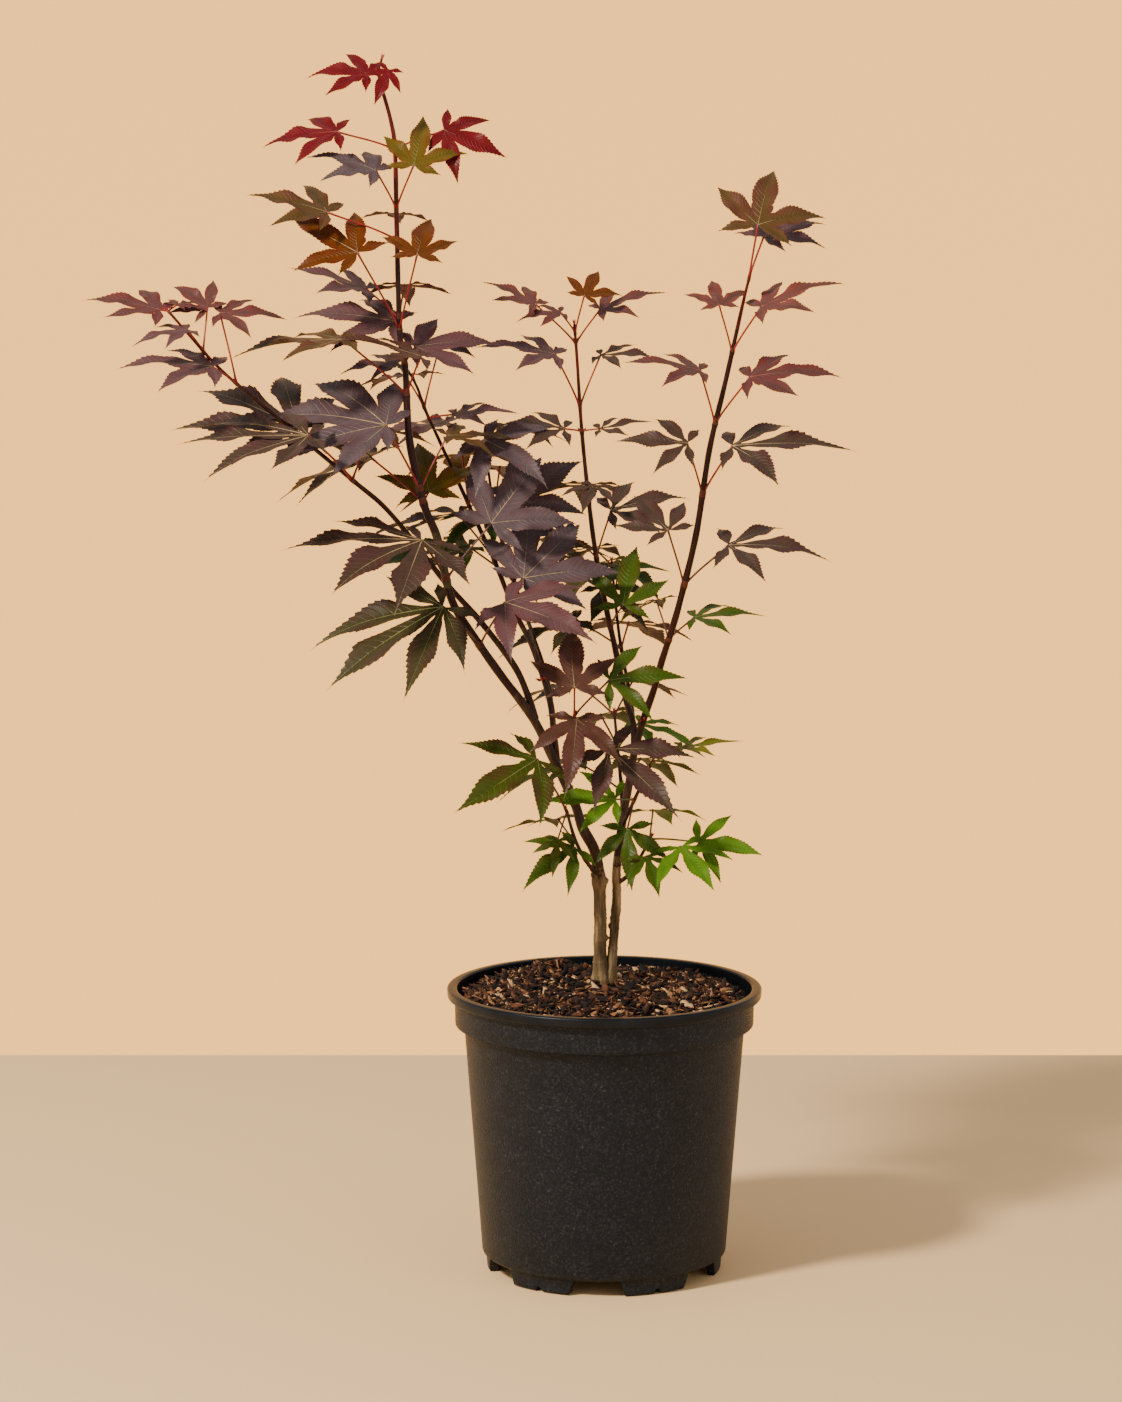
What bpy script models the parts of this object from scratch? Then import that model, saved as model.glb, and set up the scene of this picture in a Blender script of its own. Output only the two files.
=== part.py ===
"""Potted japanese maple: a two-stemmed young plant in a round nursery pot.

Metres, +Z up.  The origin is the middle of the pot's underside, on the surface it stands on.
The view from the front looks along +Y.  Routes and leaf sizes are given in millimetres.
"""
import math
import random

import bmesh
import bpy
import numpy as np
from mathutils import Matrix, Vector
from mathutils.bvhtree import BVHTree

MM = 0.001
GAP = 0.0003              # air between touching pieces

# ---- pot --------------------------------------------------------------------------------
POT_HEIGHT = 0.2098
LIP_RADIUS = 0.1150       # outside of the rolled lip
COLLAR_RADIUS = 0.1096    # band under the lip
COLLAR_BOTTOM = 0.1826
WALL_TOP_RADIUS = 0.1024
WALL_BOTTOM_RADIUS = 0.0896
FOOT_RADIUS = 0.0866
FOOT_HEIGHT = 0.0115
WALL = 0.0020
POT_SEGMENTS = 40
NOTCH_COUNT = 6
NOTCH_WIDTH = 0.0390
NOTCH_BEARING = 266.0     # degrees, the notch nearest the front
SLOT_WIDTH = 0.0050
SLOT_HEIGHT = 0.0040

# ---- potting bark -----------------------------------------------------------------------
BARK_CROWN = 0.2104       # flat seat of the trunk
BARK_EDGE = 0.2022
BARK_SEGMENTS = 36

# ---- limbs: routes through the middle of the wood, and radii against height (mm) ----------
LEFT_ROUTE = [(-3, 15, 208), (-3, 15, 230), (-3, 13, 260), (-4, 12, 286), (-7, 8, 308), (-16, 6, 326),
              (-22, 4, 345), (-36, 0, 375), (-52, -4, 408), (-75, -9, 440), (-92, -12, 465),
              (-110, -15, 495), (-120, -16, 539), (-130, -16, 565), (-140, -13, 610), (-143, -6, 660),
              (-147, -2, 688), (-149, 3, 766), (-150, 5, 816), (-153, 5, 837), (-161, 5, 868),
              (-159, 5, 880)]
LEFT_RADII = [(211, 6.6), (219, 5.4), (232, 4.7), (278, 4.5), (286, 5.5), (294, 4.4), (340, 3.6),
              (400, 3.3), (452, 3.0), (550, 3.0), (613, 2.8), (650, 2.4), (700, 1.9), (800, 1.7),
              (850, 1.4), (880, 0.9)]
RIGHT_ROUTE = [(5, 17, 208), (6, 17, 229), (9, 18, 270), (9, 18, 293), (12, 19, 320), (17, 20, 350),
               (22, 20, 380), (29, 16, 406), (36, 9, 428), (41, 2, 448), (48, -6, 472), (54, -13, 495),
               (65, -22, 544), (74, -29, 605), (85, -34, 654), (97, -38, 710), (101, -40, 727)]
RIGHT_RADII = [(211, 4.6), (225, 3.6), (258, 3.3), (262, 3.9), (267, 3.3), (380, 2.8), (437, 2.5),
               (560, 2.3), (660, 1.8), (727, 1.0)]

# A limb that leaves another: its parent, its own route, its thickness at both ends and where
# the wood ends and the leafy shoot begins.
BRANCHES = {
    "far_left": dict(on="left", thick=(2.6, 0.9), wood=558, route=[
        (-50, -3, 407), (-56, -1, 425), (-66, 3, 446), (-90, 8, 477), (-116, 4, 507),
        (-137, -7, 536), (-158, -21, 563), (-179, -30, 582), (-218, -42, 616), (-246, -50, 641),
        (-273, -55, 665), (-307, -58, 704)]),
    "inner": dict(on="left", thick=(2.6, 0.9), wood=474, route=[
        (-34, 1, 370), (-37, 5, 396), (-40, 8, 420), (-52, 18, 456), (-66, 23, 484), (-80, 28, 519),
        (-94, 32, 549), (-121, 36, 608), (-131, 36, 630), (-136, 34, 645), (-145, 30, 662)]),
    "back_left": dict(on="inner", thick=(1.9, 0.9), wood=468, route=[
        (-38, 6, 405), (-41, 18, 430), (-51, 36, 460), (-68, 66, 505), (-80, 84, 545),
        (-87, 95, 590)]),
    "middle": dict(on="right", thick=(2.6, 1.0), wood=442, route=[
        (22, 20, 384), (21, 23, 400), (16, 28, 417), (7, 37, 458), (1, 40, 485), (-8, 43, 534),
        (-16, 45, 606), (-20, 45, 664), (-22, 45, 690)]),
    "back_right": dict(on="right", thick=(1.9, 0.9), wood=424, route=[
        (18, 20, 360), (22, 30, 384), (20, 40, 412), (12, 66, 455), (8, 86, 490), (6, 92, 512)]),
    "low_back": dict(on="right", thick=(1.8, 1.0), wood=None, route=[
        (9, 18, 302), (13, 34, 318), (13, 56, 345), (10, 76, 378), (8, 86, 400)]),
    "inner_front": dict(on="left", thick=(1.6, 1.1), wood=None, route=[
        (-24, 3, 350), (-27, -4, 362), (-24, -12, 388), (-22, -14, 412)]),
    "low_left": dict(on="left", thick=(1.7, 1.1), wood=None, route=[
        (-4, 11, 290), (-12, 2, 300), (-21, -5, 318), (-28, -9, 342)]),
    "low_right": dict(on="right", thick=(1.7, 1.0), wood=None, route=[
        (9, 18, 282), (18, 14, 290), (26, 6, 304), (34, 2, 320)]),
    "low_centre": dict(on="right", thick=(1.6, 1.0), wood=None, route=[
        (12, 19, 322), (17, 11, 335), (24, 4, 352), (34, 2, 374)]),
}
LEFT_WOOD = 452           # the left limb is bare to here
RIGHT_WOOD = 437
LEADER_SPLIT = 653        # the leader's foliage is two masses that meet here
TRUNK_LEFT = 289
TRUNK_RIGHT = 300

# ---- leaves -----------------------------------------------------------------------------
# Opposite pairs along each shoot.  A row is the height of the pair, then for each of its two
# leaves: the stalk's bearing, rise and length, and the blade's bearing, nod, length and tilt
# to the light (degrees and millimetres; bearing 0 is +X, 90 is away from the front).
PAIRS = {
    "leader_lower": dict(limb="left", seed=3, rows=[
        (462, (230, 47, 47, 206, 18, 106, 28), (305, 47, 47, 322, 8, 80, 38)),
        (510, (240, 44, 45, 228, 8, 110, 22), (15, 50, 52, 45, -42, 80, 58)),
        (565, (75, 30, 14, 100, -42, 62, 55), (150, 35, 55, 150, 14, 82, 10)),
        (574, (218, 58, 58, 165, -14, 96, 30), (30, 60, 45, 20, 2, 56, 14)),
        (642, (200, 41, 62, 178, 2, 78, 12), (300, 52, 38, 182, -14, 68, 14)),
    ]),
    "leader_upper": dict(limb="left", seed=5, rows=[
        (664, (100, 50, 40, 172, -16, 74, 25), (72, 42, 20, 12, 2, 68, 36)),
        (688, (292, 56, 66, 82, -38, 48, 50), (214, 58, 66, 150, -26, 62, 42)),
        (696, (140, 33, 38, 176, -19, 64, 12), (90, 35, 38, 90, 10, 54, 10)),
        (752, (190, 17, 55, 168, -22, 66, 25), (95, 35, 32, 95, 5, 44, 12)),
        (774, (307, 55, 38, 75, -48, 54, 58), (240, 46, 38, 162, -22, 56, 16)),
        (816, (187, 17, 43, 174, 2, 58, 30), (4, 22, 38, 342, 20, 52, 58)),
        (868, (205, 20, 9, 160, -18, 48, 34), (310, 20, 12, 240, 46, 28, 62)),
    ]),
    "far_left": dict(limb="far_left", seed=7, rows=[
        (583, (232, 38, 64, 185, 4, 104, 16), (60, 50, 45, 80, 10, 66, 10)),
        (617, (60, -10, 30, 60, 20, 60, 12), (100, 15, 26, 162, -24, 104, 26)),
        (653, (158, 76, 51, 2, -2, 46, 22), (222, 36, 26, 174, -5, 70, 13)),
        (676, (68, 62, 33, 140, -38, 42, 45), (240, 40, 25, 200, 5, 40, 20)),
        (704, (180, 10, 6, 165, -14, 58, 16), (60, 20, 10, 60, 0, 30, 20)),
    ]),
    "inner": dict(limb="inner", seed=11, rows=[
        (492, (285, 27, 42, 40, -32, 84, 52), (60, 30, 45, 340, 8, 62, 10)),
        (519, (50, 58, 50, 25, -32, 68, 48), (160, 50, 45, 170, 10, 70, 10)),
        (560, (300, 65, 55, 342, 6, 78, 40), (100, 50, 45, 100, 10, 72, 10)),
        (622, (320, 10, 25, 352, -10, 48, 18), (120, 50, 40, 130, 5, 60, 10)),
        (630, (20, 75, 47, 10, -10, 44, 18), (200, 70, 40, 172, -8, 50, 20)),
    ]),
    "middle": dict(limb="middle", seed=13, rows=[
        (470, (290, 35, 32, 75, -50, 60, 60), (100, 40, 40, 322, 30, 50, 30)),
        (520, (300, 60, 42, 12, -14, 58, 32), (200, 40, 28, 190, -5, 38, 35)),
        (560, (90, 15, 40, 95, 15, 60, 8), (280, 30, 30, 250, 20, 40, 20)),
        (612, (200, 10, 14, 180, -12, 52, 18), (340, 10, 14, 0, -12, 38, 18)),
        (630, (217, 60, 45, 180, -14, 64, 12), (40, 62, 42, 350, -4, 46, 16)),
        (676, (190, 44, 42, 162, -26, 46, 14), (30, 50, 32, 14, -20, 50, 20)),
        (684, (225, 42, 22, 198, 2, 34, 22), (300, 64, 30, 58, -36, 36, 52)),
    ]),
    "right": dict(limb="right", seed=17, rows=[
        (465, (320, 38, 30, 0, -8, 54, 14), (120, 40, 40, 130, 5, 56, 12)),
        (506, (228, 68, 46, 128, -25, 58, 45), (340, 42, 45, 352, -2, 74, 26)),
        (572, (230, 65, 42, 176, -8, 52, 42), (325, 55, 44, 354, -6, 82, 24)),
        (623, (225, 68, 42, 180, -12, 60, 12), (330, 51, 44, 358, -12, 62, 22)),
        (674, (235, 62, 38, 95, -32, 38, 26), (330, 55, 40, 8, -22, 64, 12)),
        (726, (297, 72, 40, 70, -48, 66, 60), (56, 56, 35, 40, -18, 60, 26)),
    ]),
    "inner_front": dict(limb="inner_front", seed=19, rows=[
        (400, (275, 25, 30, 265, 45, 58, 60), (330, -20, 32, 315, 28, 80, 48)),
        (411, (270, 35, 45, 95, -50, 60, 60), (315, 40, 46, 6, -10, 62, 42)),
    ]),
    "low_left": dict(limb="low_left", seed=23, rows=[
        (304, (245, 34, 20, 212, 16, 56, 44), (130, 40, 40, 100, 10, 60, 10)),
        (340, (228, 53, 53, 226, 14, 82, 44), (231, -58, 24, 265, 66, 30, 60)),
    ]),
    "low_right": dict(limb="low_right", seed=29, rows=[
        (302, (320, 20, 42, 292, 22, 56, 45), (285, 20, 32, 280, 30, 42, 45)),
        (318, (335, 8, 38, 342, 6, 52, 50), (85, 25, 38, 80, 10, 56, 12)),
    ]),
    "low_centre": dict(limb="low_centre", seed=31, rows=[
        (346, (235, 12, 24, 178, 2, 56, 40), (250, -50, 24, 275, 58, 50, 60)),
        (373, (330, 30, 30, 0, -8, 46, 12), (75, 15, 34, 80, 10, 52, 10)),
    ]),
    "low_back": dict(limb="low_back", seed=43, rows=[
        (345, (60, 35, 36, 65, 18, 66, 6), (190, 35, 40, 180, 18, 66, 8)),
        (374, (110, 30, 42, 110, 22, 74, 6), (300, 45, 34, 330, 12, 52, 12)),
        (397, (60, 40, 36, 55, 12, 60, 8), (170, 40, 38, 150, 14, 62, 8)),
    ]),
    "back_left": dict(limb="back_left", seed=37, rows=[
        (500, (200, 40, 45, 190, 10, 84, 10), (60, 40, 45, 60, 15, 80, 5)),
        (524, (90, 30, 44, 95, 16, 74, 6), (250, 45, 38, 235, 10, 58, 12)),
        (550, (130, 40, 48, 130, 15, 80, 5), (80, 50, 40, 80, 10, 66, 8)),
        (585, (170, 45, 42, 175, 5, 72, 12), (50, 40, 40, 60, 10, 60, 8)),
    ]),
    "back_right": dict(limb="back_right", seed=41, rows=[
        (450, (80, 25, 38, 70, 15, 72, 6), (200, 35, 42, 190, 15, 70, 8)),
        (487, (110, 30, 42, 115, 20, 76, 5), (290, 40, 34, 300, 10, 54, 15)),
        (508, (170, 30, 38, 165, 10, 60, 8), (110, 24, 34, 110, 15, 56, 6)),
    ]),
}
SEVEN_LOBES = ((0, 1.0), (36, 0.92), (74, 0.64), (114, 0.30))   # angle, share of the blade
FIVE_LOBES = ((0, 1.0), (50, 0.76), (104, 0.40))
SEVEN_FROM = 84           # a blade this long has seven lobes
LEAF_THICK = 0.014        # of the blade's length
STALK_RADIUS = 1.0
TRIES = 90                # a leaf that would touch something is moved further with each try
SPREAD = (36, 24, 33, 24, 0.33)   # widest move: stalk bearing and rise, blade bearing and nod, size


# ---- rules of growth ----------------------------------------------------------------------
def smoothRoute(points, step):
    """Catmull-Rom curve through the points, about one sample every step."""
    p = np.array(points, float)
    p = np.vstack([2 * p[0] - p[1], p, 2 * p[-1] - p[-2]])
    out = []
    for a, b, c, d in zip(p, p[1:], p[2:], p[3:]):
        count = max(1, round(float(np.linalg.norm(c - b)) / step))
        t = (np.arange(count) / count)[:, None]
        out.append(0.5 * (2 * b + (c - a) * t + (2 * a - 5 * b + 4 * c - d) * t**2
                          + (3 * b - a - 3 * c + d) * t**3))
    return np.vstack(out + [p[-2][None]])


def atHeight(path, z):
    """The point of a rising path at height z."""
    i = min(max(int(np.searchsorted(path[:, 2], z)), 1), len(path) - 1)
    a, b = path[i - 1], path[i]
    return a + (b - a) * min(max((z - a[2]) / (b[2] - a[2]), 0.0), 1.0)


def between(path, low, high):
    """The stretch of a rising path between two heights."""
    inside = path[(path[:, 2] > low + 1.5) & (path[:, 2] < high - 1.5)]
    return np.vstack([atHeight(path, low), inside, atHeight(path, high)])


def bearing(turn, rise):
    t, r = math.radians(turn), math.radians(rise)
    return np.array([math.cos(r) * math.cos(t), math.cos(r) * math.sin(t), math.sin(r)])


def drawLeaf(rng, blade):
    """What chance decides about one leaf."""
    lobes = SEVEN_LOBES if blade >= SEVEN_FROM else FIVE_LOBES
    roll, droop = rng.uniform(-5, 5), rng.uniform(0.05, 0.17)
    tips = []
    for angle, share in lobes:
        for side in ((1,) if angle == 0 else (1, -1)):
            tips.append((side * (angle + rng.uniform(-4, 4)), share * rng.uniform(0.93, 1.07)))
    return roll, droop, sorted(tips)


def poseLeaf(node, row, drawn, move):
    """Stalk and blade of one leaf: where the blade is pinned and its three directions."""
    turn, rise, stalk, face, nod, blade, tilt = row
    roll, droop, tips = drawn
    blade, stalk = blade * (1 - abs(move[4])), stalk * (1 - abs(move[4]) / 2)
    pin = node + bearing(turn + move[0], rise + move[1]) * stalk
    ahead = bearing(face + move[2], -(nod + move[3]))
    sun = bearing(270, 90 - tilt)
    up = sun - ahead * np.dot(sun, ahead)
    up /= np.linalg.norm(up)
    side = np.cross(up, ahead)
    c, s = math.cos(math.radians(roll)), math.sin(math.radians(roll))
    side, up = side * c + up * s, up * c - side * s
    hang = up + np.array([0, 0, 1.0])
    hang /= np.linalg.norm(hang)
    return dict(node=node, pin=pin, ahead=ahead, side=side, up=up, hang=hang, blade=blade,
                droop=droop, tips=[(math.radians(a), share * blade) for a, share in tips])


def onBlade(leaf, r, angle, off, lift):
    """A point of the blade r out along a lobe, off to its side, the blade arching down."""
    u = r * math.cos(angle) - off * math.sin(angle)
    v = r * math.sin(angle) + off * math.cos(angle)
    fall = leaf["droop"] * (u * u + v * v) / leaf["blade"]
    return (leaf["pin"] + leaf["ahead"] * u + leaf["side"] * v + leaf["up"] * lift
            - leaf["hang"] * fall)


def bladeCage(leaf, thick):
    """Closed palmate blade, thickest along each lobe's rib and sharp at its edge."""
    t = thick * leaf["blade"] / 2
    verts = [onBlade(leaf, 0, 0, 0, t), onBlade(leaf, 0, 0, 0, -t)]
    faces = []
    tips = leaf["tips"]
    verts.append(onBlade(leaf, 0.08 * leaf["blade"], math.pi, 0, 0))
    before = first = 2
    for i, (angle, length) in enumerate(tips):
        last = i == len(tips) - 1
        small = length < 0.45 * leaf["blade"]
        n = len(verts)
        if small:
            verts.append(onBlade(leaf, length, angle, 0, 0))
            ring = [n]
        else:
            half = 0.135 * length
            verts += [onBlade(leaf, 0.46 * length, angle, -half, 0),
                      onBlade(leaf, length, angle, 0, 0),
                      onBlade(leaf, 0.46 * length, angle, half, 0),
                      onBlade(leaf, 0.50 * length, angle, 0, 0.85 * t),
                      onBlade(leaf, 0.50 * length, angle, 0, -0.85 * t)]
            ring = [n, n + 1, n + 2]
        if last:
            after = first
        else:
            nextAngle, nextLength = tips[i + 1]
            after = len(verts)
            verts.append(onBlade(leaf, 0.27 * min(length, nextLength) / math.cos((nextAngle - angle) / 2),
                                 (angle + nextAngle) / 2, 0, 0))
        rim = [before] + ring + [after]
        if small:
            faces += [(0, a, b) for a, b in zip(rim, rim[1:])]
            faces += [(1, b, a) for a, b in zip(rim, rim[1:])]
        else:
            for hub, rib, flip in ((0, n + 3, False), (1, n + 4, True)):
                top = [(hub, before, n), (hub, n, rib), (hub, rib, n + 2), (hub, n + 2, after),
                       (rib, n, n + 1), (rib, n + 1, n + 2)]
                faces += [f[::-1] if flip else f for f in top]
        before = after
    return [Vector(v) for v in verts], faces


def tubeCage(path, radii, sides):
    """Plain closed tube round a path, for the clearance test only."""
    verts, faces = [], []
    for i, p in enumerate(path):
        along = path[min(i + 1, len(path) - 1)] - path[max(i - 1, 0)]
        along = along / np.linalg.norm(along)
        a = np.cross(along, (0.0, 1.0, 0.0) if abs(along[1]) < 0.9 else (1.0, 0.0, 0.0))
        a /= np.linalg.norm(a)
        b = np.cross(along, a)
        for k in range(sides):
            w = 2 * math.pi * k / sides
            verts.append(Vector(p + (a * math.cos(w) + b * math.sin(w)) * radii[i]))
    for i in range(len(path) - 1):
        for k in range(sides):
            q, r = i * sides + k, i * sides + (k + 1) % sides
            faces += [(q, r, r + sides), (q, r + sides, q + sides)]
    return verts, faces


def roomOf(leaf, start):
    """What a leaf takes up when it looks for room: a thick blade and its stalk from start on."""
    verts, faces = bladeCage(leaf, 0.028)
    stalk = np.array([leaf["node"] + (leaf["pin"] - leaf["node"]) * t for t in (start, 0.66, 0.96)])
    more, rings = tubeCage(stalk, [1.3, 1.3, 1.3], 3)
    verts = verts + more
    faces = faces + [tuple(i + len(verts) - len(more) for i in f) for f in rings]
    return BVHTree.FromPolygons(verts, faces), *reach(verts)


def reach(verts):
    p = np.array([tuple(v) for v in verts])
    return p.min(axis=0), p.max(axis=0)


def touching(room, other):
    tree, low, high = room
    return bool((low < other[2]).all() and (high > other[1]).all() and tree.overlap(other[0]))


def growLeaves(paths, radii):
    """Every leaf of every mass, each moved a little or left out where it would touch."""
    limbs, placed, grown = {}, [], {}
    for name, path in paths.items():
        verts, faces = tubeCage(path, [r + 0.5 for r in radii[name]], 6)
        limbs[name] = (BVHTree.FromPolygons(verts, faces), *reach(verts))
    for mass, spec in PAIRS.items():
        rng = random.Random(spec["seed"])
        own = limbs[spec["limb"]]
        others = [limb for name, limb in limbs.items() if name != spec["limb"]]
        grown[mass] = []
        for height, *rows in spec["rows"]:
            node = atHeight(paths[spec["limb"]], height)
            for row in rows:
                drawn = drawLeaf(rng, row[5])
                for attempt in range(TRIES):
                    move = [rng.uniform(-w, w) * attempt / TRIES for w in SPREAD]
                    leaf = poseLeaf(node, row, drawn, move)
                    if touching(roomOf(leaf, 0.36), own):
                        continue
                    room = roomOf(leaf, 0.08)
                    if not any(touching(room, other) for other in others + placed):
                        placed.append(room)
                        grown[mass].append(leaf)
                        break
    return grown


def radiusAlong(path, table):
    heights, sizes = zip(*table)
    return [float(v) for v in np.interp(path[:, 2], heights, sizes)]


def limbPaths(step):
    """Routes of all limbs as smooth paths, with a radius at each sample."""
    paths = {"left": smoothRoute(LEFT_ROUTE, step), "right": smoothRoute(RIGHT_ROUTE, step)}
    radii = {"left": radiusAlong(paths["left"], LEFT_RADII),
             "right": radiusAlong(paths["right"], RIGHT_RADII)}
    for name, branch in BRANCHES.items():
        paths[name] = smoothRoute(branch["route"], step)
        radii[name] = [float(v) for v in np.linspace(*branch["thick"], len(paths[name]))]
    return paths, radii


# ---- modelling helpers ----------------------------------------------------------------------
def material(name, colour, roughness):
    mat = bpy.data.materials.new(name)
    mat.use_nodes = True
    shader = mat.node_tree.nodes["Principled BSDF"]
    shader.inputs["Base Color"].default_value = (*colour, 1)
    shader.inputs["Roughness"].default_value = roughness
    shader.inputs["Metallic"].default_value = 0.0
    mat.diffuse_color = (*colour, 1)
    return mat


def addObject(name, mesh, collection, mat=None):
    obj = bpy.data.objects.new(name, mesh)
    collection.objects.link(obj)
    if mat:
        mesh.materials.clear()
        mesh.materials.append(mat)
    return obj


def meshOf(name, verts, faces):
    mesh = bpy.data.meshes.new(name)
    mesh.from_pydata([tuple(c * MM for c in v) for v in verts], [], faces)
    return mesh


def applied(obj):
    """The object's evaluated mesh, with its modifiers worked in and its caps welded."""
    bpy.context.view_layer.update()
    mesh = bpy.data.meshes.new_from_object(obj.evaluated_get(bpy.context.evaluated_depsgraph_get()))
    bm = bmesh.new()
    bm.from_mesh(mesh)
    bmesh.ops.remove_doubles(bm, verts=bm.verts, dist=1e-6)
    bmesh.ops.dissolve_degenerate(bm, dist=1e-6, edges=bm.edges)
    bmesh.ops.triangulate(bm, faces=bm.faces)
    bm.to_mesh(mesh)
    bm.free()
    return mesh


def limbTube(name, path, radii, resolution, collection):
    """A tapering limb: a poly curve with a round bevel and filled caps, turned into a mesh."""
    curve = bpy.data.curves.new(name, "CURVE")
    curve.dimensions = "3D"
    curve.bevel_depth = MM
    curve.bevel_resolution = resolution
    curve.use_fill_caps = True
    spline = curve.splines.new("POLY")
    spline.points.add(len(path) - 1)
    for point, place, radius in zip(spline.points, path, radii):
        point.co = (*(place * MM), 1)
        point.radius = radius
    source = addObject(name + "_curve", curve, collection)
    mesh = applied(source)
    bpy.data.objects.remove(source)
    return addObject(name, mesh, collection)


def boolean(target, operation, operand, solver="EXACT"):
    mod = target.modifiers.new(operation.lower(), "BOOLEAN")
    mod.operation = operation
    mod.solver = solver
    if isinstance(operand, bpy.types.Collection):
        mod.operand_type = "COLLECTION"
        mod.collection = operand
    else:
        mod.object = operand
    mesh = applied(target)
    target.modifiers.remove(mod)
    old = target.data
    target.data = mesh
    bpy.data.meshes.remove(old)


def dropScraps(obj):
    """Keep the largest connected body of a cut or fused piece."""
    bm = bmesh.new()
    bm.from_mesh(obj.data)
    left, bodies = set(bm.verts), []
    while left:
        stack = [left.pop()]
        body = set(stack)
        while stack:
            for edge in stack.pop().link_edges:
                for v in edge.verts:
                    if v in left:
                        left.discard(v)
                        body.add(v)
                        stack.append(v)
        bodies.append(body)
    bodies.sort(key=len)
    for body in bodies[:-1]:
        bmesh.ops.delete(bm, geom=list(body), context="VERTS")
    bm.to_mesh(obj.data)
    bm.free()


for old in list(bpy.data.objects):
    bpy.data.objects.remove(old)

plant = bpy.data.collections.new("potted_japanese_maple")
workshop = bpy.data.collections.new("cutters")
bpy.context.scene.collection.children.link(plant)
bpy.context.scene.collection.children.link(workshop)

# ---- pot: one turned profile, six notches and six slots cut in its foot ring ------------------
profile = [
    (0.1078, POT_HEIGHT - 0.0008), (0.1110, POT_HEIGHT), (0.1140, POT_HEIGHT - 0.0008),
    (LIP_RADIUS, POT_HEIGHT - 0.0028), (LIP_RADIUS - 0.0003, POT_HEIGHT - 0.0074),
    (COLLAR_RADIUS, POT_HEIGHT - 0.0080), (COLLAR_RADIUS - 0.0006, COLLAR_BOTTOM),
    (WALL_TOP_RADIUS, COLLAR_BOTTOM - 0.0018), (WALL_BOTTOM_RADIUS, FOOT_HEIGHT + 0.0010),
    (FOOT_RADIUS, FOOT_HEIGHT - 0.0003), (FOOT_RADIUS - 0.0008, 0.0025), (FOOT_RADIUS - 0.0028, 0.0),
    (0.0700, 0.0), (0.0690, FOOT_HEIGHT), (0.0230, FOOT_HEIGHT), (0.0215, 0.0), (0.0, 0.0),
]
floorTop = FOOT_HEIGHT + 0.0025
inside = [
    (0.0, floorTop), (WALL_BOTTOM_RADIUS - WALL - 0.0006, floorTop),
    (WALL_TOP_RADIUS - WALL, COLLAR_BOTTOM - 0.0031), (COLLAR_RADIUS - WALL - 0.0006, COLLAR_BOTTOM - 0.0011),
    (COLLAR_RADIUS - WALL, POT_HEIGHT - 0.0053), profile[0],
]
mesh = bpy.data.meshes.new("pot")
outline = profile + inside[:-1]
mesh.from_pydata([(r, 0, z) for r, z in outline], [(i, i + 1) for i in range(len(outline) - 1)]
                 + [(len(outline) - 1, 0)], [])
plastic = material("black_plastic", (0.022, 0.022, 0.023), 0.55)
pot = addObject("pot", mesh, plant, plastic)
screw = pot.modifiers.new("turn", "SCREW")
screw.steps = screw.render_steps = POT_SEGMENTS
screw.use_merge_vertices = True
screw.merge_threshold = 0.00001
screw.use_normal_calculate = True
mesh = applied(pot)
pot.modifiers.clear()
pot.data = mesh
for k in range(NOTCH_COUNT):
    for width, high, turn in ((NOTCH_WIDTH, FOOT_HEIGHT - 0.0002, 0), (SLOT_WIDTH, SLOT_HEIGHT, 30)):
        bpy.ops.mesh.primitive_cube_add(size=1)
        box = bpy.context.object
        box.name = f"foot_cutter_{k}_{turn}"
        w = math.radians(NOTCH_BEARING + 60 * k + turn)
        box.dimensions = (0.045, width, high + 0.004)
        box.location = (0.0835 * math.cos(w), 0.0835 * math.sin(w), (high - 0.004) / 2)
        box.rotation_euler = (0, 0, w)
        boolean(pot, "DIFFERENCE", box)
        bpy.data.objects.remove(box)
pot.data.materials.clear()
pot.data.materials.append(plastic)
pot.data.shade_smooth()
pot.data.set_sharp_from_angle(angle=math.radians(35))

# ---- potting bark: fills the pot, heaped to a flat seat under the trunk -----------------------
soil = [
    (0.0, BARK_CROWN), (0.030, BARK_CROWN), (0.055, BARK_CROWN - 0.0010), (0.080, BARK_CROWN - 0.0038),
    (0.098, BARK_EDGE + 0.0012), (COLLAR_RADIUS - WALL - 0.0005, BARK_EDGE),
    (COLLAR_RADIUS - WALL - 0.0010, COLLAR_BOTTOM - 0.0007),
    (WALL_TOP_RADIUS - WALL - 0.0004, COLLAR_BOTTOM - 0.0027),
    (WALL_BOTTOM_RADIUS - WALL - 0.0010, floorTop + GAP), (0.0, floorTop + GAP),
]
mesh = bpy.data.meshes.new("potting_bark")
mesh.from_pydata([(r, 0, z) for r, z in soil], [(i, i + 1) for i in range(len(soil) - 1)], [])
barkChips = material("bark_chips", (0.16, 0.07, 0.035), 0.85)
bark = addObject("potting_bark", mesh, plant, barkChips)
screw = bark.modifiers.new("turn", "SCREW")
screw.steps = screw.render_steps = BARK_SEGMENTS
screw.use_merge_vertices = True
screw.merge_threshold = 0.00001
screw.use_normal_calculate = True
mesh = applied(bark)
bark.modifiers.clear()
bark.data = mesh
heap = random.Random(2)
for v in mesh.vertices:
    r = math.hypot(v.co.x, v.co.y)
    if v.co.z > BARK_EDGE + 0.0001 and r > 0.04:
        v.co.z += heap.uniform(-0.0012, 0.0012)
mesh.materials.append(barkChips)

# ---- trunk and boughs -------------------------------------------------------------------------
paths, radii = limbPaths(12)
barkGrey = material("bark", (0.30, 0.22, 0.13), 0.8)
woods = {}


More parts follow.
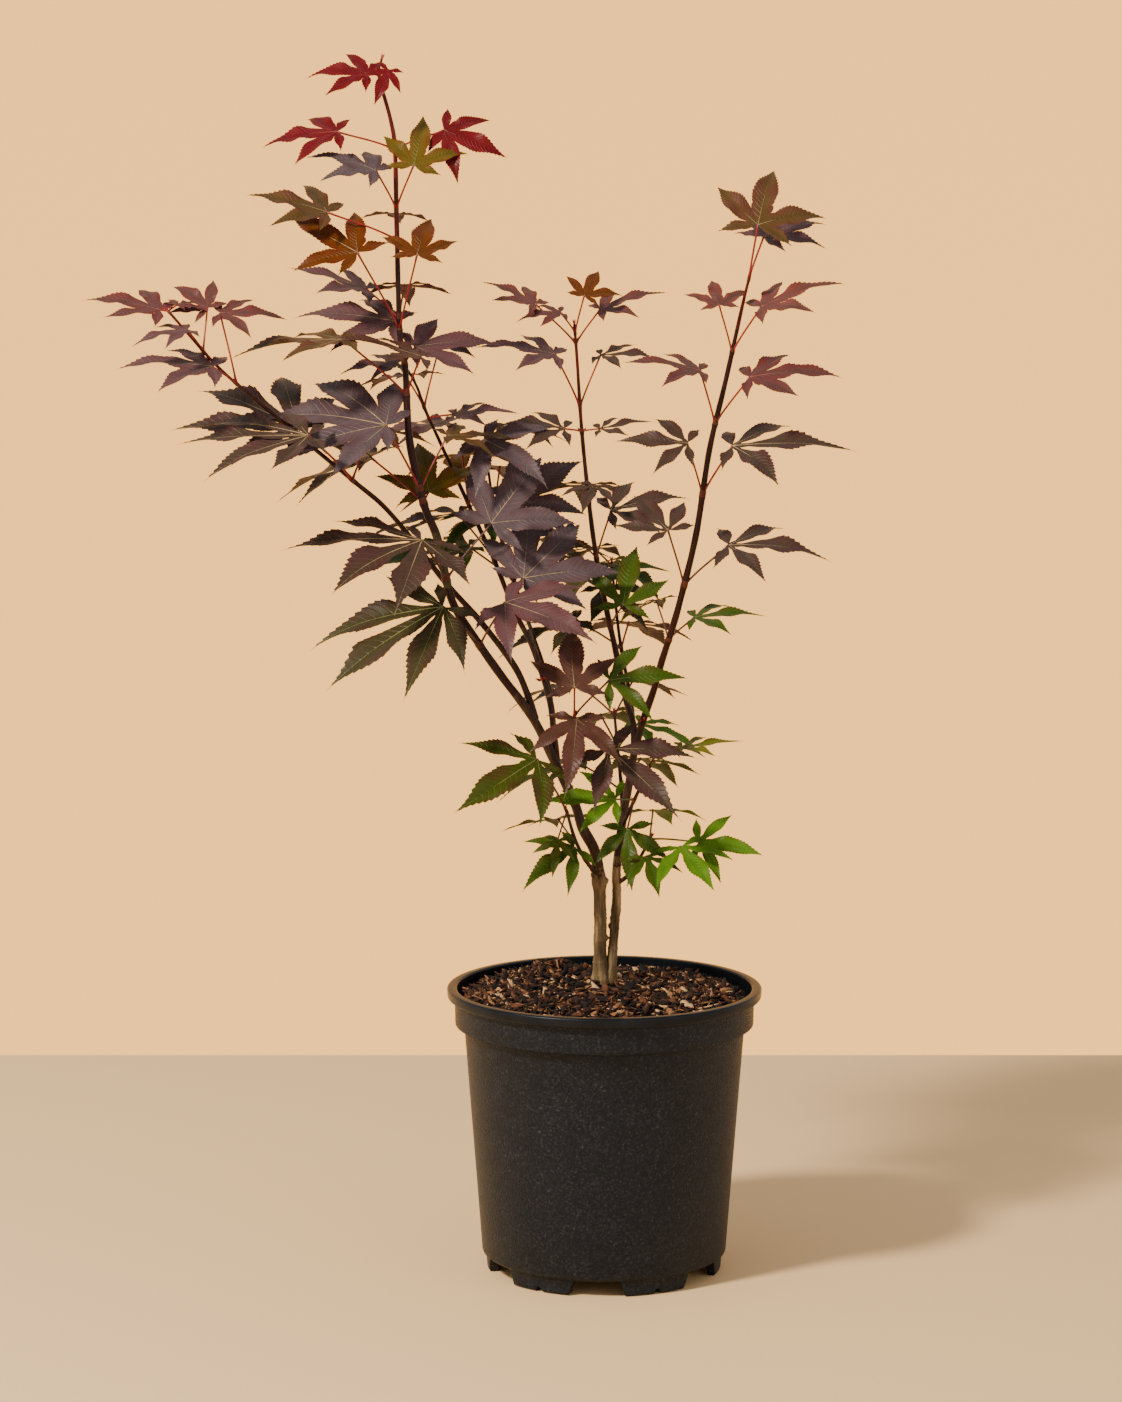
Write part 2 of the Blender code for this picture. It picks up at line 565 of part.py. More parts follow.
def stretch(limb, low, high):
    """Samples of a limb between two heights, starting a gap above the piece below."""
    path = between(paths[limb], low, high)
    size = list(np.interp(path[:, 2], paths[limb][:, 2], radii[limb]))
    along = path[1] - path[0]
    path[0] = path[0] + along / np.linalg.norm(along) * (GAP / MM + 0.05)
    return path, size


def woodPiece(name, limb, low, high, colour, resolution=2):
    path, size = stretch(limb, low, high)
    piece = limbTube(name, path, size, resolution, plant)
    woods.setdefault(limb, []).append((path, size))
    piece.data.materials.clear()
    piece.data.materials.append(colour)
    return piece


def fitTo(piece, limb):
    """Cut a limb's root to the limb it grows from, with a gap all round."""
    for path, size in woods[limb]:
        cutter = limbTube("cutter", path, [s + GAP / MM for s in size], 2, workshop)
        boolean(piece, "DIFFERENCE", cutter)
        bpy.data.objects.remove(cutter)
    dropScraps(piece)


trunk = woodPiece("trunk", "left", 208, TRUNK_LEFT, barkGrey)
second = woodPiece("trunk_right_stem", "right", 208, TRUNK_RIGHT, barkGrey)
boolean(trunk, "UNION", second)
bpy.data.objects.remove(second)
bpy.ops.mesh.primitive_cube_add(size=0.06, location=(0, 0.016, BARK_CROWN + GAP - 0.03))
box = bpy.context.object
boolean(trunk, "DIFFERENCE", box)
bpy.data.objects.remove(box)
dropScraps(trunk)
trunk.data.materials.clear()
trunk.data.materials.append(barkGrey)

young = material("young_bark", (0.11, 0.045, 0.03), 0.6)
woodPiece("bough_left", "left", TRUNK_LEFT, LEFT_WOOD, barkGrey)
woodPiece("bough_right", "right", TRUNK_RIGHT, RIGHT_WOOD, barkGrey)
for name in ("far_left", "inner", "back_left", "middle", "back_right"):
    start = BRANCHES[name]["route"][0][2]
    piece = woodPiece("bough_" + name, name, start, BRANCHES[name]["wood"], young)
    fitTo(piece, BRANCHES[name]["on"])
    piece.data.materials.clear()
    piece.data.materials.append(young)

# ---- foliage: each mass is a shoot with its leaves fused on -------------------------------------
TONES = {
    "leader_lower": (0.060, 0.035, 0.035), "leader_upper": (0.16, 0.045, 0.03),
    "far_left": (0.075, 0.035, 0.04), "inner": (0.07, 0.04, 0.05), "middle": (0.07, 0.03, 0.03),
    "right": (0.075, 0.03, 0.025), "inner_front": (0.06, 0.035, 0.02), "low_left": (0.03, 0.09, 0.015),
    "low_right": (0.05, 0.16, 0.015), "low_centre": (0.05, 0.13, 0.015),
    "back_left": (0.05, 0.035, 0.03), "back_right": (0.04, 0.09, 0.02), "low_back": (0.04, 0.11, 0.015),
}
STEMS = {
    "leader_lower": ("left", LEFT_WOOD, LEADER_SPLIT), "leader_upper": ("left", LEADER_SPLIT, 880),
    "right": ("right", RIGHT_WOOD, 727),
}
for name, branch in BRANCHES.items():
    STEMS[name] = (name, branch["wood"] or branch["route"][0][2], branch["route"][-1][2])
fine, fineRadii = limbPaths(6)
grown = growLeaves(fine, fineRadii)
for mass, leaves in grown.items():
    limb, low, high = STEMS[mass]
    path, size = stretch(limb, low, high)
    stem = limbTube(mass + "_foliage", path, size, 0, plant)
    if limb in BRANCHES and not BRANCHES[limb]["wood"]:
        fitTo(stem, BRANCHES[limb]["on"])
    sprays = bpy.data.collections.new(mass + "_leaves")
    workshop.children.link(sprays)
    for i, leaf in enumerate(leaves):
        verts, faces = bladeCage(leaf, LEAF_THICK)
        addObject(f"blade_{i}", meshOf("blade", verts, faces), sprays)
        foot, tip = leaf["node"], onBlade(leaf, 0.03 * leaf["blade"], math.pi, 0, 0)
        along = tip - foot
        length = float(np.linalg.norm(along))
        stalk = bpy.data.meshes.new("stalk")
        bm = bmesh.new()
        bmesh.ops.create_cone(bm, cap_ends=True, cap_tris=True, segments=3, radius1=STALK_RADIUS * MM,
                              radius2=0.5 * STALK_RADIUS * MM, depth=length * MM)
        turn = Vector(along).to_track_quat("Z", "Y").to_matrix().to_4x4()
        bmesh.ops.transform(bm, matrix=Matrix.Translation(Vector((foot + tip) / 2) * MM) @ turn,
                            verts=bm.verts)
        bm.to_mesh(stalk)
        bm.free()
        addObject(f"stalk_{i}", stalk, sprays)
    boolean(stem, "UNION", sprays, "MANIFOLD")
    for obj in list(sprays.objects):
        bpy.data.objects.remove(obj)
    bpy.data.collections.remove(sprays)
    dropScraps(stem)
    tone = material(mass + "_leaf", TONES[mass], 0.5)
    stem.data.materials.clear()
    stem.data.materials.append(tone)
    print(f"{stem.name}: {len(leaves)} leaves, {len(stem.data.polygons)} faces")

for obj in list(workshop.objects):
    bpy.data.objects.remove(obj)
bpy.data.collections.remove(workshop)
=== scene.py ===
import math
import random
from functools import partial
import bpy
import numpy as np
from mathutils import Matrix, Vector
from mathutils.bvhtree import BVHTree


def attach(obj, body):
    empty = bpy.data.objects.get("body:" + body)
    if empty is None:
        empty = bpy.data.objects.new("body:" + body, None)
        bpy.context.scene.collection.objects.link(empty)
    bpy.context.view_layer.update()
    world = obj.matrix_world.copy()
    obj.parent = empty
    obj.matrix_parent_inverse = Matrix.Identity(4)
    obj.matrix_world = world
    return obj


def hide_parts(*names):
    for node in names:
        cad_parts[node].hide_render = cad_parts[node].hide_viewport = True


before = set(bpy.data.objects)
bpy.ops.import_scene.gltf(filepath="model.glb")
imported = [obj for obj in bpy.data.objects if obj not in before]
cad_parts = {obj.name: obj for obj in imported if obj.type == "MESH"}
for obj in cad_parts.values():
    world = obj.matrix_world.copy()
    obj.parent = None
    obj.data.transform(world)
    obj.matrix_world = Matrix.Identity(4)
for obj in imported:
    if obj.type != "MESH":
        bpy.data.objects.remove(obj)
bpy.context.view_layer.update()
mm = 0.001

# camera, floor and light
view = dict(aside=-0.0317, back=3.0166, height=0.8410, pitch=7.944, lens=72.0, sensor=24.0, nearest=0.05)
camera = bpy.data.objects.new("camera", bpy.data.cameras.new("camera"))
camera.data.sensor_fit = "VERTICAL"
camera.data.sensor_height = view["sensor"]
camera.data.lens = view["lens"]
camera.data.clip_start = view["nearest"]
camera.location = (view["aside"], -view["back"], view["height"])
camera.rotation_euler = (math.radians(90 - view["pitch"]), 0, 0)
bpy.context.scene.collection.objects.link(camera)
bpy.context.scene.camera = camera

# the sky's colours are listed by height of gaze, from 0 straight down to 1 straight up
studio = dict(
    key=(-1.7, -1.5, 2.3), keySize=0.42, keyPower=122.0, keyTint=(1.0, 0.91, 0.78),
    fill=(2.0, -1.7, 1.0), fillSize=2.4, fillPower=9.0, fillTint=(1.0, 0.95, 0.90),
    aim=(0, 0, 0.42), wallFrom=0.55, wallFull=0.92,
    wall=[(0.0, (0.40, 0.30, 0.22)), (0.16, (1.10, 0.70, 0.36)), (0.36, (2.35, 1.14, 0.29)),
          (0.56, (2.20, 1.08, 0.29)), (0.72, (0.44, 0.41, 0.38)), (1.0, (0.44, 0.44, 0.44))],
    room=[(0.0, (0.35, 0.33, 0.32)), (0.30, (0.80, 0.74, 0.72)), (0.60, (1.05, 0.93, 0.86)),
          (0.75, (0.50, 0.47, 0.45)), (1.0, (0.44, 0.44, 0.44))])
mixFactor, mixFirst, mixSecond, mixColour = 0, 6, 7, 2      # sockets of a colour mix


def areaLight(name, place, size, power, tint):
    lamp = bpy.data.lights.new(name, "AREA")
    lamp.shape = "DISK"
    lamp.size = size
    lamp.energy = power
    lamp.color = tint
    obj = bpy.data.objects.new(name, lamp)
    obj.location = place
    aim = Vector(studio["aim"]) - Vector(place)
    obj.rotation_euler = aim.to_track_quat("-Z", "Y").to_euler()
    bpy.context.scene.collection.objects.link(obj)


def mathNode(nodes, links, operation, *values):
    # one sum in a shader: a number is set on its socket, anything else is linked to it
    node = nodes.new("ShaderNodeMath")
    node.operation = operation
    for socket, value in zip(node.inputs, values):
        if isinstance(value, (int, float)):
            socket.default_value = value
        else:
            links.new(value, socket)
    return node.outputs["Value"]


def rampColour(nodes, links, factor, stops):
    # colour read off a ramp of (place, colour) stops
    ramp = nodes.new("ShaderNodeValToRGB")
    elements = ramp.color_ramp.elements
    elements[0].position, elements[1].position = stops[0][0], stops[-1][0]
    for spot, colour in stops[1:-1]:
        elements.new(spot)
    for element, (spot, colour) in zip(elements, stops):
        element.color = (*colour, 1)
    links.new(factor, ramp.inputs["Fac"])
    return ramp.outputs["Color"]


def colourMix(nodes):
    mix = nodes.new("ShaderNodeMix")
    mix.data_type = "RGBA"
    return mix


def studioSky(wall, room):
    # a warm pale band behind the plant and a neutral one in front of it, under a dimmer dome:
    # colour by height of gaze, passing from one to the other round the sides
    world = bpy.data.worlds.new("studioSky")
    world.use_nodes = True
    nodes, links = world.node_tree.nodes, world.node_tree.links
    gaze = nodes.new("ShaderNodeTexCoord")
    parts = nodes.new("ShaderNodeSeparateXYZ")
    links.new(gaze.outputs["Generated"], parts.inputs["Vector"])
    height = mathNode(nodes, links, "MULTIPLY_ADD", parts.outputs["Z"], 0.5, 0.5)
    side = nodes.new("ShaderNodeMapRange")
    side.inputs["From Min"].default_value = studio["wallFrom"]
    side.inputs["From Max"].default_value = studio["wallFull"]
    links.new(parts.outputs["Y"], side.inputs["Value"])
    mix = colourMix(nodes)
    links.new(side.outputs["Result"], mix.inputs[mixFactor])
    links.new(rampColour(nodes, links, height, room), mix.inputs[mixFirst])
    links.new(rampColour(nodes, links, height, wall), mix.inputs[mixSecond])
    links.new(mix.outputs[mixColour], nodes["Background"].inputs["Color"])
    bpy.context.scene.world = world


areaLight("keyLight", studio["key"], studio["keySize"], studio["keyPower"], studio["keyTint"])
areaLight("fillLight", studio["fill"], studio["fillSize"], studio["fillPower"], studio["fillTint"])
studioSky(studio["wall"], studio["room"])


# materials
def newSkin(name, colour, roughness, specular):
    skin = bpy.data.materials.new(name)
    skin.use_nodes = True
    shader = skin.node_tree.nodes["Principled BSDF"]
    shader.inputs["Base Color"].default_value = (*colour, 1)
    shader.inputs["Roughness"].default_value = roughness
    shader.inputs["Specular IOR Level"].default_value = specular
    skin.diffuse_color = (*colour, 1)
    return skin, skin.node_tree.nodes, skin.node_tree.links, shader


def grain(nodes, links, scale, detail, stretch=(1, 1, 1), rough=0.6):
    # noise on Object coordinates, drawn out along an axis where stretch is small
    place = nodes.new("ShaderNodeTexCoord")
    turn = nodes.new("ShaderNodeMapping")
    turn.inputs["Scale"].default_value = stretch
    noise = nodes.new("ShaderNodeTexNoise")
    noise.inputs["Scale"].default_value = scale
    noise.inputs["Detail"].default_value = detail
    noise.inputs["Roughness"].default_value = rough
    links.new(place.outputs["Object"], turn.inputs["Vector"])
    links.new(turn.outputs["Vector"], noise.inputs["Vector"])
    return noise.outputs["Fac"]


def tones(nodes, links, factor, shader, stops):
    links.new(rampColour(nodes, links, factor, stops), shader.inputs["Base Color"])


def bump(nodes, links, height, shader, strength, distance):
    relief = nodes.new("ShaderNodeBump")
    relief.inputs["Strength"].default_value = strength
    relief.inputs["Distance"].default_value = distance
    links.new(height, relief.inputs["Height"])
    links.new(relief.outputs["Normal"], shader.inputs["Normal"])


def scaled(colour, by):
    return tuple(c * by for c in colour)


plastic = dict(
    sheen=(0.72, 0.84, 1.0, 1), turned=(0.015, 0.015, 1.0), scuffs=0.22, lines=0.5,
    wall=(0.008, 0.0095, 0.0135), wallStops=[
        (0.48, (0.005, 0.006, 0.008)), (0.62, (0.008, 0.0095, 0.0135)), (0.74, (0.019, 0.021, 0.026)),
        (0.84, (0.05, 0.052, 0.056))],
    lip=(0.006, 0.007, 0.010), lipStops=[
        (0.35, (0.004, 0.005, 0.007)), (0.60, (0.007, 0.008, 0.011)), (0.80, (0.013, 0.014, 0.017))])


def plasticSkin():
    # charcoal moulded plastic: fine leathery grain, turning lines round it, pale specks and faint scuffs
    skin, nodes, links, shader = newSkin("potPlastic", plastic["wall"], 0.42, 0.20)
    shader.inputs["Specular Tint"].default_value = plastic["sheen"]
    scuff = grain(nodes, links, 60, 6, rough=0.75)
    speck = grain(nodes, links, 520, 3, rough=0.7)
    shade = mathNode(nodes, links, "MULTIPLY_ADD", scuff, plastic["scuffs"], speck)
    tones(nodes, links, shade, shader, plastic["wallStops"])
    fine = grain(nodes, links, 820, 2)
    lines = grain(nodes, links, 560, 2, plastic["turned"])
    both = mathNode(nodes, links, "MULTIPLY_ADD", lines, plastic["lines"], fine)
    bump(nodes, links, both, shader, 0.9, 0.0010)
    return skin


def lipSkin():
    # the rolled lip is smoother and shinier than the wall, with faint dull patches and turning lines
    skin, nodes, links, shader = newSkin("lipPlastic", plastic["lip"], 0.34, 0.20)
    shader.inputs["Specular Tint"].default_value = plastic["sheen"]
    tones(nodes, links, grain(nodes, links, 45, 5, rough=0.7), shader, plastic["lipStops"])
    bump(nodes, links, grain(nodes, links, 480, 2, plastic["turned"]), shader, 0.35, 0.0004)
    return skin


def chipSkin(name, colour):
    # bark chips with darker and paler streaks
    skin, nodes, links, shader = newSkin(name, colour, 0.8, 0.3)
    streak = grain(nodes, links, 260, 5, (1, 1, 0.4))
    tones(nodes, links, streak, shader,
          [(0.30, scaled(colour, 0.45)), (0.55, colour), (0.75, scaled(colour, 1.45))])
    bump(nodes, links, streak, shader, 0.7, 0.0008)
    return skin


def barkSkin(name, dark, middle, pale, roughness, specular):
    # bark drawn out along the stem, with small pale corky spots
    skin, nodes, links, shader = newSkin(name, middle, roughness, specular)
    streak = grain(nodes, links, 210, 5, (1, 1, 0.16))
    tones(nodes, links, streak, shader, [(0.32, dark), (0.52, middle), (0.72, pale)])
    bump(nodes, links, streak, shader, 0.5, 0.0006)
    return skin


# side veins along a lobe, how they lean to the tip and curve, and how thin they are
veining = dict(count=15.0, lean=0.10, curve=0.07, thin=8.0, lift=0.012, paler=2.1)


def leafSkin(name, centre, margin, roughness=0.44, veins=0.32, relief=0.6):
    # the leaf's own UV map runs along a lobe (u) and across it (v): the colour passes from the
    # middle to the margin, and fine paler side veins leave the rib and curve towards the tip
    skin, nodes, links, shader = newSkin(name, centre, roughness, 0.22)
    sums = partial(mathNode, nodes, links)
    where = nodes.new("ShaderNodeUVMap")
    where.uv_map = "leafMap"
    parts = nodes.new("ShaderNodeSeparateXYZ")
    links.new(where.outputs["UV"], parts.inputs["Vector"])
    aside = sums("MULTIPLY", sums("ABSOLUTE", sums("SUBTRACT", parts.outputs["Y"], 0.5)), 2.0)
    lean = sums("MULTIPLY", aside, sums("ADD", veining["lean"], sums("MULTIPLY", aside, veining["curve"])))
    along = sums("MULTIPLY", sums("SUBTRACT", parts.outputs["X"], lean), veining["count"])
    wave = sums("ABSOLUTE", sums("SUBTRACT", sums("FRACT", along), 0.5))
    vein = nodes.new("ShaderNodeClamp")
    links.new(sums("SUBTRACT", 1.0, sums("MULTIPLY", wave, veining["thin"])), vein.inputs["Value"])
    blotch = grain(nodes, links, 42, 5, rough=0.62)
    place = sums("ADD", sums("MULTIPLY", aside, 0.42), sums("MULTIPLY", blotch, 0.95))
    stops = [(0.40, scaled(centre, 0.80)), (0.58, centre), (0.78, margin), (1.0, scaled(margin, 0.85))]
    mix = colourMix(nodes)
    mix.inputs[mixSecond].default_value = (*(veining["lift"] + veining["paler"] * c for c in centre), 1)
    links.new(sums("MULTIPLY", vein.outputs["Result"], veins), mix.inputs[mixFactor])
    links.new(rampColour(nodes, links, place, stops), mix.inputs[mixFirst])
    links.new(mix.outputs[mixColour], shader.inputs["Base Color"])
    quilt = sums("SUBTRACT", sums("MULTIPLY", blotch, 0.5), vein.outputs["Result"])
    bump(nodes, links, quilt, shader, relief, 0.0005)
    return skin


def dusty(colour):
    # undersides go a quarter of the way to a soft brown
    return tuple(0.75 * c + 0.25 * d for c, d in zip(colour, (0.13, 0.08, 0.06)))


def twigSkin(name, colour, roughness=0.45):
    # ribs, stalks and buds: one colour with darker and paler lengths
    skin, nodes, links, shader = newSkin(name, colour, roughness, 0.4)
    tones(nodes, links, grain(nodes, links, 90, 3), shader,
          [(0.30, scaled(colour, 0.6)), (0.52, colour), (0.74, scaled(colour, 1.5))])
    return skin


# middle and margin of each tone of leaf
leafTones = dict(
    crimson=((0.108, 0.001, 0.003), (0.128, 0.001, 0.004)),
    amber=((0.104, 0.027, 0.0), (0.108, 0.019, 0.001)),
    olive=((0.102, 0.066, 0.002), (0.115, 0.044, 0.002)),
    bronze=((0.081, 0.043, 0.009), (0.100, 0.032, 0.014)),
    rose=((0.119, 0.042, 0.033), (0.164, 0.035, 0.027)),
    wine=((0.098, 0.034, 0.029), (0.123, 0.023, 0.020)),
    plum=((0.099, 0.045, 0.046), (0.098, 0.034, 0.036)),
    slate=((0.088, 0.059, 0.064), (0.080, 0.043, 0.045)),
    umber=((0.057, 0.032, 0.020), (0.062, 0.022, 0.019)),
    moss=((0.046, 0.036, 0.011), (0.050, 0.025, 0.013)),
    russet=((0.067, 0.026, 0.014), (0.073, 0.022, 0.017)),
    fern=((0.041, 0.074, 0.001), (0.055, 0.058, 0.001)),
    lime=((0.078, 0.175, 0.001), (0.074, 0.140, 0.001)),
    straw=((0.115, 0.120, 0.002), (0.120, 0.090, 0.003)),
    myrtle=((0.044, 0.056, 0.002), (0.058, 0.034, 0.005)))
toneList = list(leafTones)
skins = {tone: leafSkin(tone + "Leaf", *pair) for tone, pair in leafTones.items()}
unders = {tone: leafSkin(tone + "Under", dusty(centre), dusty(margin), 0.6, 0.5, 0.9)
          for tone, (centre, margin) in leafTones.items()}
ribTones = dict(tanRib=(0.36, 0.24, 0.11), redRib=(0.40, 0.10, 0.06), limeRib=(0.19, 0.20, 0.055))
ribSkins = [twigSkin(name, colour) for name, colour in ribTones.items()]
stalkSkins = [twigSkin("redStalk", (0.24, 0.014, 0.013), 0.4), twigSkin("brownStalk", (0.075, 0.020, 0.014)),
              twigSkin("greenStalk", (0.10, 0.11, 0.02))]
# dark, middle and pale of each bark, then its roughness and sheen
barkTones = dict(
    trunkBark=((0.045, 0.027, 0.011), (0.155, 0.097, 0.040), (0.38, 0.27, 0.14), 0.75, 0.25),
    oldBough=((0.014, 0.005, 0.002), (0.040, 0.016, 0.007), (0.09, 0.042, 0.020), 0.5, 0.25),
    darkShoot=((0.012, 0.002, 0.001), (0.024, 0.004, 0.002), (0.042, 0.009, 0.005), 0.42, 0.2),
    greenShoot=((0.012, 0.008, 0.003), (0.042, 0.036, 0.009), (0.09, 0.075, 0.02), 0.5, 0.2),
    redShoot=((0.050, 0.003, 0.002), (0.090, 0.006, 0.005), (0.14, 0.011, 0.009), 0.42, 0.2),
    ochreNode=((0.04, 0.009, 0.004), (0.085, 0.020, 0.008), (0.15, 0.045, 0.018), 0.5, 0.2))
woodSkins = {name: barkSkin(name, *look) for name, look in barkTones.items()}
woodList = list(woodSkins)
print("camera, light and finishes ready")


# meshes from whole arrays
def gridTriangles(index):
    # two triangles for each cell of a grid of point numbers; cells with a collapsed side lose one
    a, b, c, d = index[:-1, :-1], index[1:, :-1], index[1:, 1:], index[:-1, 1:]
    cells = np.concatenate([np.stack(corners, -1).reshape(-1, 3) for corners in ([a, b, c], [a, c, d])])
    whole = (cells[:, 0] != cells[:, 1]) & (cells[:, 1] != cells[:, 2]) & (cells[:, 0] != cells[:, 2])
    return cells[whole]


def closedGrid(rows, sides):
    # rows of points that run right round, closed by two poles that are listed after them
    index = np.arange(rows * sides).reshape(rows, sides)
    index = np.hstack([index, index[:, :1]])
    first, last = np.full((2, 1, sides + 1), rows * sides)
    return gridTriangles(np.vstack([first, index, last + 1]))


class Heap:
    # gathers many small surfaces into one mesh
    def __init__(self):
        self.points, self.triangles, self.finish, self.uv, self.count = [], [], [], [], 0

    def add(self, points, triangles, finish=0, uv=None):
        self.points.append(points)
        self.triangles.append(triangles + self.count)
        self.finish.append(np.broadcast_to(finish, len(triangles)))
        self.uv.append(uv if uv is not None else np.zeros((len(points), 2)))
        self.count += len(points)

    def put(self, name, finishes, smooth=True, sharp=None):
        # points turn from millimetres to metres, and those that no triangle uses are left out
        used, corners = np.unique(np.vstack(self.triangles), return_inverse=True)
        corners = corners.ravel().astype(np.int32)
        mesh = bpy.data.meshes.new(name)
        mesh.vertices.add(len(used))
        mesh.vertices.foreach_set("co", (np.vstack(self.points) * mm)[used].astype(np.float32).ravel())
        mesh.loops.add(len(corners))
        mesh.loops.foreach_set("vertex_index", corners)
        mesh.polygons.add(len(corners) // 3)
        mesh.polygons.foreach_set("loop_start", np.arange(0, len(corners), 3, dtype=np.int32))
        for finish in finishes:
            mesh.materials.append(finish)
        mesh.polygons.foreach_set("material_index", np.concatenate(self.finish).astype(np.int32))
        mesh.update(calc_edges=True)
        layer = mesh.uv_layers.new(name="leafMap")
        layer.data.foreach_set("uv", np.vstack(self.uv)[used][corners].astype(np.float32).ravel())
        if smooth:
            mesh.shade_smooth()
        if sharp:
            mesh.set_sharp_from_angle(angle=math.radians(sharp))
        obj = bpy.data.objects.new(name, mesh)
        bpy.context.scene.collection.objects.link(obj)
        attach(obj, "root")
        return obj


def unit(v):
    return v / np.linalg.norm(v, axis=-1, keepdims=True)


def tube(path, radius, sides):
    # circle of the radius carried along the path: path + r (a cos t + b sin t), with a and b across the
    # path and a across the depth too, so that it doesn't twist; ends drawn to points
    along = unit(np.gradient(path, axis=0))
    a = unit(np.cross(along, (0.0, 1.0, 0.02)))
    b = np.cross(along, a)
    turn = np.linspace(0, 2 * np.pi, sides, endpoint=False)
    radius = np.broadcast_to(np.asarray(radius, float).T, (sides, len(path))).T
    ring = a[:, None] * np.cos(turn)[None, :, None] + b[:, None] * np.sin(turn)[None, :, None]
    points = path[:, None] + ring * radius[..., None]
    points = np.vstack([points.reshape(-1, 3), path[:1], path[-1:]])
    return points, closedGrid(len(path), sides)[:, ::-1]


# growth: the same rule, routes and rows as the solids, carried to finer parts
# each limb has its route, its girth by height or from end to end, and its bark from each height up
limbs = dict(
    left=dict(route=[(-3, 15, 208), (-3, 15, 230), (-3, 13, 260), (-4, 12, 286), (-7, 8, 308), (-16, 6, 326),
                     (-22, 4, 345), (-36, 0, 375), (-52, -4, 408), (-75, -9, 440), (-92, -12, 465),
                     (-110, -15, 495), (-120, -16, 539), (-130, -16, 565), (-140, -13, 610), (-143, -6, 660),
                     (-147, -2, 688), (-149, 3, 766), (-150, 5, 816), (-153, 5, 837), (-161, 5, 868),
                     (-159, 5, 880)],
              radii=[(211, 6.6), (219, 5.4), (232, 4.7), (278, 4.5), (286, 5.5), (294, 4.4), (340, 3.6),
                     (400, 3.3), (452, 3.0), (550, 3.0), (613, 2.8), (650, 2.4), (700, 1.9), (800, 1.7),
                     (850, 1.4), (880, 0.9)],
              bark=[(0, "oldBough"), (425, "darkShoot"), (503, "greenShoot"), (543, "darkShoot"),
                    (745, "redShoot")]),
    right=dict(route=[(5, 17, 208), (6, 17, 229), (9, 18, 270), (9, 18, 293), (12, 19, 320), (17, 20, 350),
                      (22, 20, 380), (29, 16, 406), (36, 9, 428), (41, 2, 448), (48, -6, 472), (54, -13, 495),
                      (65, -22, 544), (74, -29, 605), (85, -34, 654), (97, -38, 710), (101, -40, 727)],
               radii=[(211, 4.6), (225, 3.6), (258, 3.3), (262, 3.9), (267, 3.3), (380, 2.8), (437, 2.5),
                      (560, 2.3), (660, 1.8), (727, 1.0)],
               bark=[(0, "oldBough"), (400, "darkShoot"), (690, "redShoot")]),
    far_left=dict(thick=(2.6, 0.9), bark=[(0, "oldBough"), (470, "darkShoot"), (650, "redShoot")], route=[
        (-50, -3, 407), (-56, -1, 425), (-66, 3, 446), (-90, 8, 477), (-116, 4, 507),
        (-137, -7, 536), (-158, -21, 563), (-179, -30, 582), (-218, -42, 616), (-246, -50, 641),
        (-273, -55, 665), (-307, -58, 704)]),
    inner=dict(thick=(2.6, 0.9), bark=[(0, "oldBough"), (470, "darkShoot")], route=[
        (-34, 1, 370), (-37, 5, 396), (-40, 8, 420), (-52, 18, 456), (-66, 23, 484), (-80, 28, 519),
        (-94, 32, 549), (-121, 36, 608), (-131, 36, 630), (-136, 34, 645), (-145, 30, 662)]),
    back_left=dict(thick=(1.9, 0.9), bark=[(0, "oldBough"), (470, "darkShoot")], route=[
        (-38, 6, 405), (-41, 18, 430), (-51, 36, 460), (-68, 66, 505), (-80, 84, 545), (-87, 95, 590)]),
    middle=dict(thick=(2.6, 1.0), bark=[(0, "oldBough"), (420, "darkShoot"), (620, "redShoot")], route=[
        (22, 20, 384), (21, 23, 400), (16, 28, 417), (7, 37, 458), (1, 40, 485), (-8, 43, 534),
        (-16, 45, 606), (-20, 45, 664), (-22, 45, 690)]),
    back_right=dict(thick=(1.9, 0.9), bark=[(0, "oldBough"), (420, "darkShoot")], route=[
        (18, 20, 360), (22, 30, 384), (20, 40, 412), (12, 66, 455), (8, 86, 490), (6, 92, 512)]),
    low_back=dict(thick=(1.8, 1.0), bark=[(0, "oldBough")], route=[
        (9, 18, 302), (13, 34, 318), (13, 56, 345), (10, 76, 378), (8, 86, 400)]),
    inner_front=dict(thick=(1.6, 1.1), bark=[(0, "oldBough")], route=[
        (-24, 3, 350), (-27, -4, 362), (-24, -12, 388), (-22, -14, 412)]),
    low_left=dict(thick=(1.7, 1.1), bark=[(0, "oldBough")], route=[
        (-4, 11, 290), (-12, 2, 300), (-21, -5, 318), (-28, -9, 342)]),
    low_right=dict(thick=(1.7, 1.0), bark=[(0, "oldBough")], route=[
        (9, 18, 282), (18, 14, 290), (26, 6, 304), (34, 2, 320)]),
    low_centre=dict(thick=(1.6, 1.0), bark=[(0, "oldBough")], route=[
        (12, 19, 322), (17, 11, 335), (24, 4, 352), (34, 2, 374)]),
)
